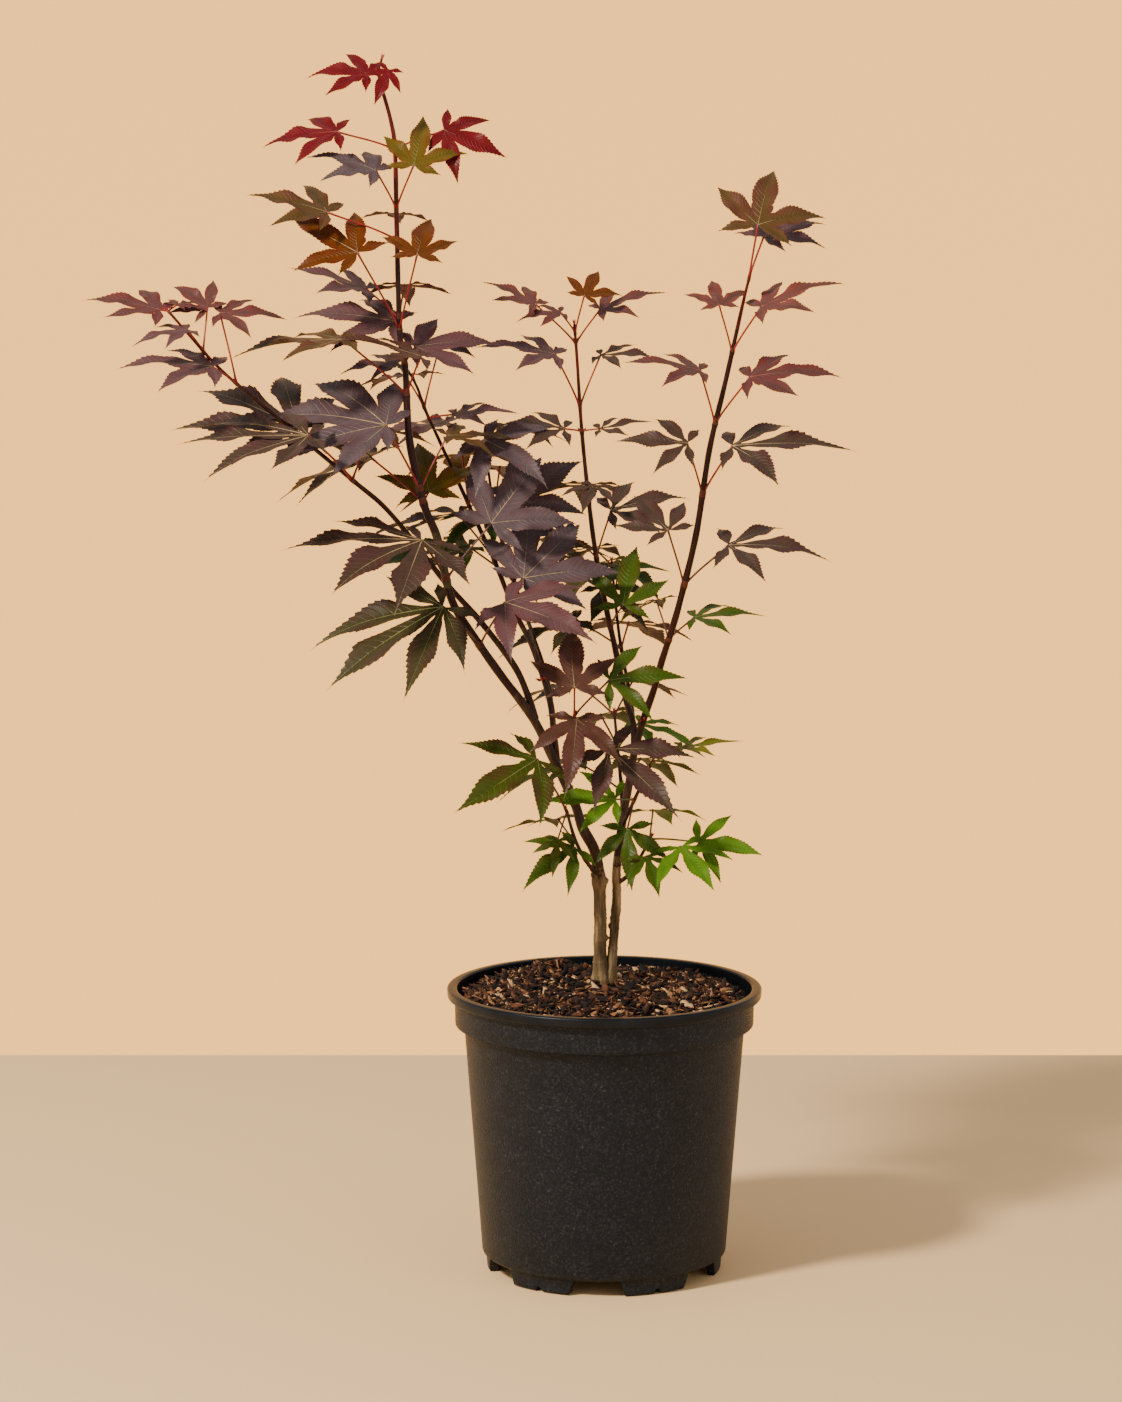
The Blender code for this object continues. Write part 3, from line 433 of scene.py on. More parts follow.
# height of a pair, then for each leaf: stalk bearing, rise and length; blade bearing, nod, length
# and tilt to the light; tint
masses = dict(
    leader_lower=dict(limb="left", seed=3, rows=[
        (462, (230, 47, 47, 206, 18, 106, 28, "moss"), (305, 47, 47, 322, 8, 80, 38, "plum")),
        (510, (240, 44, 45, 228, 8, 110, 22, "umber"), (15, 50, 52, 45, -42, 80, 58, "slate")),
        (565, (75, 30, 14, 100, -42, 62, 55, "olive"), (150, 35, 55, 150, 14, 82, 10, "bronze")),
        (574, (218, 58, 58, 165, -14, 96, 30, "slate"), (30, 60, 45, 20, 2, 56, 14, "bronze")),
        (642, (200, 41, 62, 178, 2, 78, 12, "bronze"), (300, 52, 38, 182, -14, 68, 14, "russet"))]),
    leader_upper=dict(limb="left", seed=5, rows=[
        (664, (100, 50, 40, 172, -16, 74, 25, "plum"), (72, 42, 20, 12, 2, 68, 36, "plum")),
        (688, (292, 56, 66, 82, -38, 48, 50, "amber"), (214, 58, 66, 150, -26, 62, 42, "amber")),
        (696, (140, 33, 38, 176, -19, 64, 12, "plum"), (90, 35, 38, 90, 10, 54, 10, "wine")),
        (752, (190, 17, 55, 168, -22, 66, 25, "bronze"), (95, 35, 32, 95, 5, 44, 12, "plum")),
        (774, (307, 55, 38, 75, -48, 54, 58, "olive"), (240, 46, 38, 162, -22, 56, 16, "slate")),
        (816, (187, 17, 43, 174, 2, 58, 30, "crimson"), (4, 22, 38, 342, 20, 52, 58, "crimson")),
        (868, (205, 20, 9, 160, -18, 48, 34, "crimson"), (310, 20, 12, 240, 46, 28, 62, "crimson"))]),
    far_left=dict(limb="far_left", seed=7, rows=[
        (583, (232, 38, 64, 185, 4, 104, 16, "umber"), (60, 50, 45, 80, 10, 66, 10, "umber")),
        (617, (60, -10, 30, 60, 20, 60, 12, "moss"), (100, 15, 26, 162, -24, 104, 26, "umber")),
        (653, (158, 76, 51, 2, -2, 46, 22, "wine"), (222, 36, 26, 174, -5, 70, 13, "plum")),
        (676, (68, 62, 33, 140, -38, 42, 45, "wine"), (240, 40, 25, 200, 5, 40, 20, "plum")),
        (704, (180, 10, 6, 165, -14, 58, 16, "wine"), (60, 20, 10, 60, 0, 30, 20, "wine"))]),
    inner=dict(limb="inner", seed=11, rows=[
        (492, (285, 27, 42, 40, -32, 84, 52, "slate"), (60, 30, 45, 340, 8, 62, 10, "moss")),
        (519, (50, 58, 50, 25, -32, 68, 48, "slate"), (160, 50, 45, 170, 10, 70, 10, "umber")),
        (560, (300, 65, 55, 342, 6, 78, 40, "slate"), (100, 50, 45, 100, 10, 72, 10, "olive")),
        (622, (320, 10, 25, 352, -10, 48, 18, "plum"), (120, 50, 40, 130, 5, 60, 10, "plum")),
        (630, (20, 75, 47, 10, -10, 44, 18, "plum"), (200, 70, 40, 172, -8, 50, 20, "plum"))]),
    middle=dict(limb="middle", seed=13, rows=[
        (470, (290, 35, 32, 75, -50, 60, 60, "fern"), (100, 40, 40, 322, 30, 50, 30, "moss")),
        (520, (300, 60, 42, 12, -14, 58, 32, "umber"), (200, 40, 28, 190, -5, 38, 35, "slate")),
        (560, (90, 15, 40, 95, 15, 60, 8, "moss"), (280, 30, 30, 250, 20, 40, 20, "umber")),
        (612, (200, 10, 14, 180, -12, 52, 18, "umber"), (340, 10, 14, 0, -12, 38, 18, "umber")),
        (630, (217, 60, 45, 180, -14, 64, 12, "plum"), (40, 62, 42, 350, -4, 46, 16, "umber")),
        (676, (190, 44, 42, 162, -26, 46, 14, "rose"), (30, 50, 32, 14, -20, 50, 20, "wine")),
        (684, (225, 42, 22, 198, 2, 34, 22, "wine"), (300, 64, 30, 58, -36, 36, 52, "amber"))]),
    right=dict(limb="right", seed=17, rows=[
        (465, (320, 38, 30, 0, -8, 54, 14, "fern"), (120, 40, 40, 130, 5, 56, 12, "myrtle")),
        (506, (228, 68, 46, 128, -25, 58, 45, "umber"), (340, 42, 45, 352, -2, 74, 26, "umber")),
        (572, (230, 65, 42, 176, -8, 52, 42, "umber"), (325, 55, 44, 354, -6, 82, 24, "umber")),
        (623, (225, 68, 42, 180, -12, 60, 12, "wine"), (330, 51, 44, 358, -12, 62, 22, "wine")),
        (674, (235, 62, 38, 95, -32, 38, 26, "rose"), (330, 55, 40, 8, -22, 64, 12, "rose")),
        (726, (297, 72, 40, 70, -48, 66, 60, "bronze"), (56, 56, 35, 40, -18, 60, 26, "plum"))]),
    inner_front=dict(limb="inner_front", seed=19, rows=[
        (400, (275, 25, 30, 265, 45, 58, 60, "russet"), (330, -20, 32, 315, 28, 80, 48, "umber")),
        (411, (270, 35, 45, 95, -50, 60, 60, "russet"), (315, 40, 46, 6, -10, 62, 42, "fern"))]),
    low_left=dict(limb="low_left", seed=23, rows=[
        (304, (245, 34, 20, 212, 16, 56, 44, "fern"), (130, 40, 40, 100, 10, 60, 10, "fern")),
        (340, (228, 53, 53, 226, 14, 82, 44, "myrtle"), (231, -58, 24, 265, 66, 30, 60, "fern"))]),
    low_right=dict(limb="low_right", seed=29, rows=[
        (302, (320, 20, 42, 292, 22, 56, 45, "lime"), (285, 20, 32, 280, 30, 42, 45, "fern")),
        (318, (335, 8, 38, 342, 6, 52, 50, "lime"), (85, 25, 38, 80, 10, 56, 12, "lime"))]),
    low_centre=dict(limb="low_centre", seed=31, rows=[
        (346, (235, 12, 24, 178, 2, 56, 40, "lime"), (250, -50, 24, 275, 58, 50, 60, "fern")),
        (373, (330, 30, 30, 0, -8, 46, 12, "straw"), (75, 15, 34, 80, 10, 52, 10, "myrtle"))]),
    low_back=dict(limb="low_back", seed=43, rows=[
        (345, (60, 35, 36, 65, 18, 66, 6, "fern"), (190, 35, 40, 180, 18, 66, 8, "fern")),
        (374, (110, 30, 42, 110, 22, 74, 6, "fern"), (300, 45, 34, 330, 12, 52, 12, "lime")),
        (397, (60, 40, 36, 55, 12, 60, 8, "moss"), (170, 40, 38, 150, 14, 62, 8, "moss"))]),
    back_left=dict(limb="back_left", seed=37, rows=[
        (500, (200, 40, 45, 190, 10, 84, 10, "fern"), (60, 40, 45, 60, 15, 80, 5, "moss")),
        (524, (90, 30, 44, 95, 16, 74, 6, "umber"), (250, 45, 38, 235, 10, 58, 12, "fern")),
        (550, (130, 40, 48, 130, 15, 80, 5, "umber"), (80, 50, 40, 80, 10, 66, 8, "slate")),
        (585, (170, 45, 42, 175, 5, 72, 12, "plum"), (50, 40, 40, 60, 10, 60, 8, "umber"))]),
    back_right=dict(limb="back_right", seed=41, rows=[
        (450, (80, 25, 38, 70, 15, 72, 6, "russet"), (200, 35, 42, 190, 15, 70, 8, "moss")),
        (487, (110, 30, 42, 115, 20, 76, 5, "fern"), (290, 40, 34, 300, 10, 54, 15, "fern")),
        (508, (170, 30, 38, 165, 10, 60, 8, "moss"), (110, 24, 34, 110, 15, 56, 6, "umber"))]),
)
# lobes as angle and share of the blade; how freely a leaf varies; tries and widest moves of one that
# touches (stalk bearing and rise, blade bearing and nod, shortening); the plain blade of the solids
palm = dict(seven=((0, 1.0), (36, 0.92), (74, 0.64), (114, 0.30)), five=((0, 1.0), (50, 0.76), (104, 0.40)),
            sevenFrom=84, small=0.45, roll=5, droop=(0.05, 0.17), swing=4, vary=(0.93, 1.07),
            tries=90, spread=(36, 24, 33, 24, 0.33),
            thick=0.028, half=0.135, widest=0.46, ridge=0.50, notch=0.27, heel=0.08)
# room kept free: extra on a limb, girth and places of the stalk, and where along it the room starts
clear = dict(limb=0.5, stalk=1.3, places=(0.66, 0.96), ownStart=0.36, start=0.08)


def smoothRoute(points, step):
    # Catmull-Rom curve through the points, about one sample every step
    p = np.array(points, float)
    p = np.vstack([2 * p[0] - p[1], p, 2 * p[-1] - p[-2]])
    out = []
    for a, b, c, d in zip(p, p[1:], p[2:], p[3:]):
        count = max(1, round(float(np.linalg.norm(c - b)) / step))
        t = (np.arange(count) / count)[:, None]
        out.append(0.5 * (2 * b + (c - a) * t + (2 * a - 5 * b + 4 * c - d) * t**2
                          + (3 * b - a - 3 * c + d) * t**3))
    return np.vstack(out + [p[-2][None]])


def atHeight(path, z):
    i = min(max(int(np.searchsorted(path[:, 2], z)), 1), len(path) - 1)
    a, b = path[i - 1], path[i]
    return a + (b - a) * min(max((z - a[2]) / (b[2] - a[2]), 0.0), 1.0)


def bearing(turn, rise):
    t, r = math.radians(turn), math.radians(rise)
    return np.array([math.cos(r) * math.cos(t), math.cos(r) * math.sin(t), math.sin(r)])


def drawLeaf(rng, length):
    lobes = palm["seven"] if length >= palm["sevenFrom"] else palm["five"]
    roll, droop = rng.uniform(-palm["roll"], palm["roll"]), rng.uniform(*palm["droop"])
    tips = []
    for angle, share in lobes:
        for side in ((1,) if angle == 0 else (1, -1)):
            swung = angle + rng.uniform(-palm["swing"], palm["swing"])
            tips.append((side * swung, share * rng.uniform(*palm["vary"])))
    return roll, droop, sorted(tips)


def poseLeaf(node, row, drawn, move):
    turn, rise, stalk, face, nod, blade, tilt, tint = row
    roll, droop, tips = drawn
    blade, stalk = blade * (1 - abs(move[4])), stalk * (1 - abs(move[4]) / 2)
    pin = node + bearing(turn + move[0], rise + move[1]) * stalk
    ahead = bearing(face + move[2], -(nod + move[3]))
    sun = bearing(270, 90 - tilt)
    up = sun - ahead * np.dot(sun, ahead)
    up /= np.linalg.norm(up)
    side = np.cross(up, ahead)
    c, s = math.cos(math.radians(roll)), math.sin(math.radians(roll))
    side, up = side * c + up * s, up * c - side * s
    hang = up + np.array([0, 0, 1.0])
    hang /= np.linalg.norm(hang)
    return dict(node=node, pin=pin, ahead=ahead, side=side, up=up, hang=hang, blade=blade, tint=tint,
                droop=droop, tips=[(math.radians(a), share * blade) for a, share in tips])


def onBlade(leaf, r, angle, off, lift):
    # r out along a lobe and off to its side, the blade arching down with the square of the distance
    u = r * np.cos(angle) - off * np.sin(angle)
    v = r * np.sin(angle) + off * np.cos(angle)
    fall = leaf["droop"] * (u * u + v * v) / leaf["blade"]
    u, v, fall, lift = (np.asarray(x)[..., None] for x in (u, v, fall, lift))
    return leaf["pin"] + leaf["ahead"] * u + leaf["side"] * v + leaf["up"] * lift - leaf["hang"] * fall


def bladeCage(leaf):
    # the plain leaf of the solids, for the clearance test
    t = palm["thick"] * leaf["blade"] / 2
    tips = leaf["tips"]
    verts = [onBlade(leaf, 0, 0, 0, t), onBlade(leaf, 0, 0, 0, -t)]
    verts.append(onBlade(leaf, palm["heel"] * leaf["blade"], math.pi, 0, 0))
    faces, before = [], 2
    for i, (angle, length) in enumerate(tips):
        n = len(verts)
        small = length < palm["small"] * leaf["blade"]
        if small:
            verts.append(onBlade(leaf, length, angle, 0, 0))
            ring = [n]
        else:
            half, widest, ridge = (palm[key] * length for key in ("half", "widest", "ridge"))
            verts += [onBlade(leaf, widest, angle, -half, 0), onBlade(leaf, length, angle, 0, 0),
                      onBlade(leaf, widest, angle, half, 0),
                      onBlade(leaf, ridge, angle, 0, 0.85 * t), onBlade(leaf, ridge, angle, 0, -0.85 * t)]
            ring = [n, n + 1, n + 2]
        after = 2
        if i < len(tips) - 1:
            nextAngle, nextLength = tips[i + 1]
            after = len(verts)
            depth = palm["notch"] * min(length, nextLength) / math.cos((nextAngle - angle) / 2)
            verts.append(onBlade(leaf, depth, (angle + nextAngle) / 2, 0, 0))
        rim = [before] + ring + [after]
        if small:
            faces += [(0, a, b) for a, b in zip(rim, rim[1:])]
            faces += [(1, b, a) for a, b in zip(rim, rim[1:])]
        else:
            for hub, rib, flip in ((0, n + 3, False), (1, n + 4, True)):
                top = [(hub, before, n), (hub, n, rib), (hub, rib, n + 2), (hub, n + 2, after),
                       (rib, n, n + 1), (rib, n + 1, n + 2)]
                faces += [f[::-1] if flip else f for f in top]
        before = after
    return [Vector(v) for v in verts], faces


def tubeCage(path, radii, sides):
    # plain round limb or stalk, for the clearance test
    verts, faces = [], []
    for i, p in enumerate(path):
        along = path[min(i + 1, len(path) - 1)] - path[max(i - 1, 0)]
        along = along / np.linalg.norm(along)
        a = np.cross(along, (0.0, 1.0, 0.0) if abs(along[1]) < 0.9 else (1.0, 0.0, 0.0))
        a /= np.linalg.norm(a)
        b = np.cross(along, a)
        for k in range(sides):
            w = 2 * math.pi * k / sides
            verts.append(Vector(p + (a * math.cos(w) + b * math.sin(w)) * radii[i]))
    for i in range(len(path) - 1):
        for k in range(sides):
            q, r = i * sides + k, i * sides + (k + 1) % sides
            faces += [(q, r, r + sides), (q, r + sides, q + sides)]
    return verts, faces


def reach(verts):
    p = np.array([tuple(v) for v in verts])
    return p.min(axis=0), p.max(axis=0)


def roomOf(leaf, start):
    # room of a blade and of its stalk from start onwards
    verts, faces = bladeCage(leaf)
    places = (start, *clear["places"])
    stalk = np.array([leaf["node"] + (leaf["pin"] - leaf["node"]) * t for t in places])
    more, rings = tubeCage(stalk, [clear["stalk"]] * len(places), 3)
    faces = faces + [tuple(i + len(verts) for i in f) for f in rings]
    verts = verts + more
    return BVHTree.FromPolygons(verts, faces), *reach(verts)


def touching(room, other):
    tree, low, high = room
    return bool((low < other[2]).all() and (high > other[1]).all() and tree.overlap(other[0]))


def growLeaves(paths, radii):
    # every leaf, each moved a little or left out where it would touch
    rooms, placed, grown = {}, [], {}
    for name, path in paths.items():
        verts, faces = tubeCage(path, [r + clear["limb"] for r in radii[name]], 6)
        rooms[name] = (BVHTree.FromPolygons(verts, faces), *reach(verts))
    for mass, spec in masses.items():
        rng = random.Random(spec["seed"])
        own = rooms[spec["limb"]]
        others = [room for name, room in rooms.items() if name != spec["limb"]]
        grown[mass] = []
        for height, *rows in spec["rows"]:
            node = atHeight(paths[spec["limb"]], height)
            for row in rows:
                drawn = drawLeaf(rng, row[5])
                for attempt in range(palm["tries"]):
                    move = [rng.uniform(-w, w) * attempt / palm["tries"] for w in palm["spread"]]
                    leaf = poseLeaf(node, row, drawn, move)
                    if touching(roomOf(leaf, clear["ownStart"]), own):
                        continue
                    room = roomOf(leaf, clear["start"])
                    if not any(touching(room, other) for other in others + placed):
                        placed.append(room)
                        grown[mass].append(leaf)
                        break
    return grown


def limbPaths(step):
    paths, radii = {}, {}
    for name, limb in limbs.items():
        paths[name] = smoothRoute(limb["route"], step)
        if "radii" in limb:
            radii[name] = np.interp(paths[name][:, 2], *zip(*limb["radii"]))
        else:
            radii[name] = np.linspace(*limb["thick"], len(paths[name]))
    return paths, radii


grown = growLeaves(*limbPaths(step=6))
print("grown", sum(len(leaves) for leaves in grown.values()), "leaves")

# leaf blades, in shares of a lobe's length except thick and ribUp, in millimetres: rim is the half
# width, web how far two lobes are joined and waist how narrow both ends are; some tones have their own
blade = dict(
    rows=40, thick=0.45, lap=0.004, slit=0.14, rimVary=(0.90, 1.10), smallRim=1.15,
    teeth=0.085, toothVary=(0.55, 1.15), hollow=-0.40, forward=0.85, toothFrom=0.20, toothTo=0.96,
    fold=0.27, freeFrom=0.14, freeOver=0.24, ripple=0.17, ripples=(1.6, 2.6), sag=(0.05, 0.40),
    hook=(-0.11, 0.11), widestGap=1.2, joinGap=0.6, joinOver=0.05,
    rim=0.150, rims=dict(umber=0.142, moss=0.136, fern=0.128, lime=0.128, straw=0.128, myrtle=0.128,
                         russet=0.142, wine=0.143, slate=0.156),
    web=0.29, webs=dict(umber=0.13, moss=0.14, fern=0.18, lime=0.18, straw=0.18, myrtle=0.18, wine=0.27,
                        slate=0.31),
    waist=1.25, waists=dict(umber=1.65, moss=1.60, myrtle=1.40, fern=1.35, lime=1.30),
    rib=0.0056, ribEnd=0.22, ribUp=0.05)
acrossShares = np.array([-1, -0.62, -0.24, 0, 0.24, 0.62, 1.0])
ribColumn = 3


def lobeWidth(s, rim, waist):
    # widest near half way, narrow at both ends with a long thin point: sin(pi s)^waist * (1 - 0.6 s^3)
    return 1.08 * rim * np.sin(np.pi * np.clip(s, 0, 1)).clip(0)**waist * (1 - 0.6 * s**3)


def cutSide(s, rim, gap, web):
    # half width of one side, cut off by the ray midway to the next lobe: one blade with it as far as
    # the web and a notch past that; and how far the two are apart, 0 where they meet
    if not gap:
        return rim, np.ones(len(s))
    wedge = s * math.tan(min(gap, blade["widestGap"]))
    joined = np.clip((web - s) / blade["joinOver"], 0, 1) * (gap < blade["joinGap"])
    half = np.minimum(wedge, rim * (1 - joined) + wedge * joined)
    half = np.minimum(half, wedge - blade["slit"] * np.clip(s - web, 0, 1))
    return half, np.clip((wedge - half) / (0.25 * wedge + 0.002), 0, 1)


def lobeSurface(leaf, angle, length, gaps, rng):
    # surface of s along the lobe and t across it: a half width with teeth that point forwards past the
    # notch, folded up from the rib and waved, its tip hooked aside and drooping
    tint, small = leaf["tint"], length < palm["small"] * leaf["blade"]
    rows = blade["rows"] // 2 if small else blade["rows"]
    s = np.linspace(0, 1, rows + 1)
    rim = blade["rims"].get(tint, blade["rim"]) * rng.uniform(*blade["rimVary"])
    rim = rim * (blade["smallRim"] if small else 1)
    rim = lobeWidth(s, rim, blade["waists"].get(tint, blade["waist"]))
    web = blade["webs"].get(tint, blade["web"])
    toothed = (s > blade["toothFrom"]) & (s < blade["toothTo"])
    crest = toothed & (np.arange(rows + 1) % 2 == 1)
    rise = rng.uniform(*blade["toothVary"], rows + 1)
    tooth = blade["teeth"] * np.where(crest, rise, blade["hollow"] * toothed)
    forward = np.where(crest, blade["forward"] / rows, 0)
    widths, gapsOpen = [], []
    for gap in gaps:
        half, apart = cutSide(s, rim, gap, web)
        widths.append(half * (1 + tooth * apart) + blade["lap"] * (1 - apart) * (s > 0.02))
        gapsOpen.append(apart)
    s, t = s[:, None], acrossShares[None, :]
    width = np.where(t < 0, widths[0][:, None], widths[1][:, None])
    apart = np.where(t < 0, gapsOpen[0][:, None], gapsOpen[1][:, None])
    along = s + forward[:, None] * np.abs(t)**3 * apart
    free = np.clip((s - blade["freeFrom"]) / blade["freeOver"], 0, 1)**2 * apart
    phase, waves = rng.uniform(0, 6.3), rng.uniform(*blade["ripples"])
    sag, hook = rng.uniform(*blade["sag"]), rng.uniform(*blade["hook"])
    ripple = blade["ripple"] * free * np.sin(2 * np.pi * waves * s + phase + 1.2 * t)
    lift = length * width * np.abs(t) * (blade["fold"] * free + ripple)
    lift = lift - length * sag * np.clip(s - 0.5, 0, 1)**2
    bend = hook * length * s**3
    middle = onBlade(leaf, along * length, angle, t * width * length + bend, lift)
    body = np.minimum(1, 12 * s + 0.5) * (1 - np.abs(t)**3) * (1 - s**6)
    half = leaf["up"] * (0.5 * blade["thick"] * body)[..., None]
    index = np.arange(width.size).reshape(width.shape)
    top, low = index.copy(), index + index.size
    low[:, [0, -1]] = index[:, [0, -1]]
    for end in (0, -1):
        top[end] = low[end] = index[end, ribColumn]
    uv = np.stack([np.broadcast_to(s, width.shape), 0.5 + 0.5 * t * width / blade["rim"]], -1).reshape(-1, 2)
    points = np.vstack([(middle + half).reshape(-1, 3), (middle - half).reshape(-1, 3)])
    return points, gridTriangles(top), gridTriangles(low)[:, ::-1], np.vstack([uv, uv]), middle[:, ribColumn]


# stalks swell at the stem and a little under the blade; each bud has a length and a girth
stalk = dict(points=11, sides=7, arch=0.16, girth=0.52, perBlade=0.0032, heel=0.9, heelOver=0.06,
             cap=0.35, capOver=0.05, redAbove=560)
bud = dict(pair=(3.6, 0.75), tip=(4.2, 0.7), cluster=(4.6, 1.0), points=7, sides=6, least=0.02,
           out=1.6, upwards=1.2)
redRibs, limeRibs = ("crimson", "rose", "wine"), ("fern", "lime", "straw", "moss", "olive", "myrtle")
greenStalks, freshMasses = ("lime", "straw"), ("low_left", "low_right")
ribs, stalks, buds = Heap(), Heap(), Heap()


def stalkTint(leaf):
    if leaf["tint"] in greenStalks:
        return 2
    return 0 if leaf["pin"][2] > stalk["redAbove"] or leaf["tint"] == "russet" else 1


def stalkPath(leaf):
    # petiole: the straight line from node to blade, arched upwards by t (1 - t)^2
    t = np.linspace(0, 1, stalk["points"])[:, None]
    line = leaf["node"] + (leaf["pin"] - leaf["node"]) * t
    length = np.linalg.norm(leaf["pin"] - leaf["node"])
    return line + np.array([0, 0, stalk["arch"]]) * length * t * (1 - t) * (1 - t)


def addBud(root, aim, length, girth):
    # pointed bud: a circle that swells and closes along a short line, as sin(pi (0.15 + 0.85 t)^0.7)
    t = np.linspace(0, 1, bud["points"])
    swell = np.maximum(girth * np.sin(np.pi * (0.15 + 0.85 * t)**0.7), bud["least"])
    buds.add(*tube(root + aim * length * t[:, None], swell, bud["sides"]))


def addLeaf(heap, leaf, rng):
    # the lobes with a midrib along each, then the stalk; gives back the stalk's path
    slot, tips = 2 * toneList.index(leaf["tint"]), leaf["tips"]
    ribTint = 1 if leaf["tint"] in redRibs else 2 if leaf["tint"] in limeRibs else 0
    for i, (angle, length) in enumerate(tips):
        before = (angle - tips[i - 1][0]) / 2 if i else None
        after = (tips[i + 1][0] - angle) / 2 if i < len(tips) - 1 else None
        points, top, low, uv, spine = lobeSurface(leaf, angle, length, (before, after), rng)
        heap.add(points, np.vstack([top, low]), np.repeat([slot, slot + 1], [len(top), len(low)]), uv)
        spine = spine[::2]
        girth = blade["rib"] * length * np.linspace(1, blade["ribEnd"], len(spine))
        ribs.add(*tube(spine + leaf["up"] * blade["ribUp"], girth, 4), ribTint)
    path = stalkPath(leaf)
    t = np.linspace(0, 1, len(path))
    heel = stalk["heel"] * np.exp(-t / stalk["heelOver"])
    cap = stalk["cap"] * np.exp((t - 1) / stalk["capOver"])
    girth = (stalk["girth"] + stalk["perBlade"] * leaf["blade"]) * (1 + heel + cap)
    stalks.add(*tube(path, girth, stalk["sides"]), stalkTint(leaf))
    return path


finishes = [finish for tone in toneList for finish in (skins[tone], unders[tone])]
for mass, leaves in grown.items():
    heap = Heap()
    for number, leaf in enumerate(leaves):
        path = addLeaf(heap, leaf, np.random.default_rng(1000 * masses[mass]["seed"] + number))
        if mass not in freshMasses:
            aim = unit(unit(path[3] - path[0]) + np.array([0, 0, bud["upwards"]]))
            addBud(leaf["node"] + unit(path[2] - path[0]) * bud["out"], aim, *bud["pair"])
    piece = heap.put(mass + "Blades", finishes, sharp=50)
    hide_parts(mass + "_foliage")
print("leaf blades")

# stems, with a swollen collar at each pair of leaves; clusters of buds by limb, height and bearing
stem = dict(step=2.5, sides=12, collar=0.42, collarOver=1.5, ripple=0.04, rippleOver=5.0, node=2.2,
            startsAt=dict(left=287, right=294), clusterBuds=4, clusterOut=3.4, fan=38, lowest=25, steeper=16,
            clusters=(("left", 290, 215), ("left", 351, 250), ("left", 411, 190), ("right", 402, 300),
                      ("inner", 432, 250)))
stemHeap = Heap()
finePaths, fineRadii = limbPaths(stem["step"])
for name, limb in limbs.items():
    path, girth = finePaths[name], fineRadii[name]
    keep = path[:, 2] >= stem["startsAt"].get(name, 0)
    path, girth = path[keep], girth[keep]
    heights = [row[0] for spec in masses.values() if spec["limb"] == name for row in spec["rows"]]
    collar = sum(np.exp(-((path[:, 2] - z) / stem["collarOver"])**2) for z in heights)
    girth = girth * (1 + stem["ripple"] * np.sin(path[:, 2] / stem["rippleOver"])) + stem["collar"] * collar
    points, triangles = tube(path, girth, stem["sides"])
    ring = path[:, 2][np.minimum(triangles.min(axis=1) // stem["sides"], len(path) - 1)]
    starts, barks = zip(*limb["bark"])
    order = np.searchsorted(starts, ring, side="right") - 1
    slots = np.array([woodList.index(bark) for bark in barks])[order]
    for z in heights:
        slots = np.where(np.abs(ring - z) < stem["node"], woodList.index("ochreNode"), slots)
    stemHeap.add(points, triangles, slots)
    for turn in (0, 180):
        addBud(path[-1], unit(unit(path[-1] - path[-3]) + 0.25 * bearing(turn, 0)), *bud["tip"])
for name, height, facing in stem["clusters"]:
    root = atHeight(finePaths[name], height)
    for k in range(stem["clusterBuds"]):
        aim = unit(bearing(facing + stem["fan"] * (k - 1.5), stem["lowest"] + stem["steeper"] * k))
        addBud(root + aim * stem["clusterOut"], aim, *bud["cluster"])
stems = stemHeap.put("stems", list(woodSkins.values()))
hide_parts(*[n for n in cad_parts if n.startswith("bough_")])
ribs.put("leafRibs", ribSkins)
stalks.put("leafStalks", stalkSkins)
buds.put("buds", stalkSkins[:1])
print("stems, ribs, stalks and buds")

# trunk: two stems with bark relief, joined by their flare at the soil
trunk = dict(tops=dict(left=297, right=303), seeds=dict(left=5, right=9), base=209.0, rings=0.7, sides=48,
             ridges=0.085, waves=14, warts=90, wart=0.9, wartTurn=0.16, wartRise=0.8, flareOver=5.0,
             knotTurn=32, scar=0.28, scarDrop=1.6, scarRise=0.9)
# knots on each stem: height, bearing, how far they stand out and how wide they are
knots = dict(left=[(243, 175, 2.0, 1.5), (285, 205, 2.2, 2.2), (226, 265, 0.6, 2.2), (262, 310, 0.7, 1.6),
                   (291, 20, 1.2, 1.8), (252, 230, 0.5, 1.2)],
             right=[(251, 355, 1.7, 2.0), (257, 340, 1.1, 1.3), (236, 275, 0.5, 1.8), (279, 290, 0.6, 1.4)])


def barkRelief(height, turn, seed):
    # long ridges (slow in height, quick round the stem) plus low corky warts
    rng = np.random.default_rng(seed)
    field = np.zeros((len(height), len(turn)))
    for k in range(trunk["waves"]):
        waves, rate = rng.integers(2, 11), rng.uniform(-0.25, 0.25)
        strength, phase = rng.uniform(0.4, 1), rng.uniform(0, 6.3)
        field += strength * np.cos(waves * turn[None] + rate * height[:, None] + phase) / trunk["waves"]
    for k in range(trunk["warts"]):
        z, w = rng.uniform(height[0], height[-1]), rng.uniform(0, 2 * np.pi)
        away = np.abs((turn[None] - w + np.pi) % (2 * np.pi) - np.pi)
        bell = -(away / trunk["wartTurn"])**2 - ((height[:, None] - z) / trunk["wartRise"])**2
        field += trunk["wart"] * np.exp(bell)
    return field


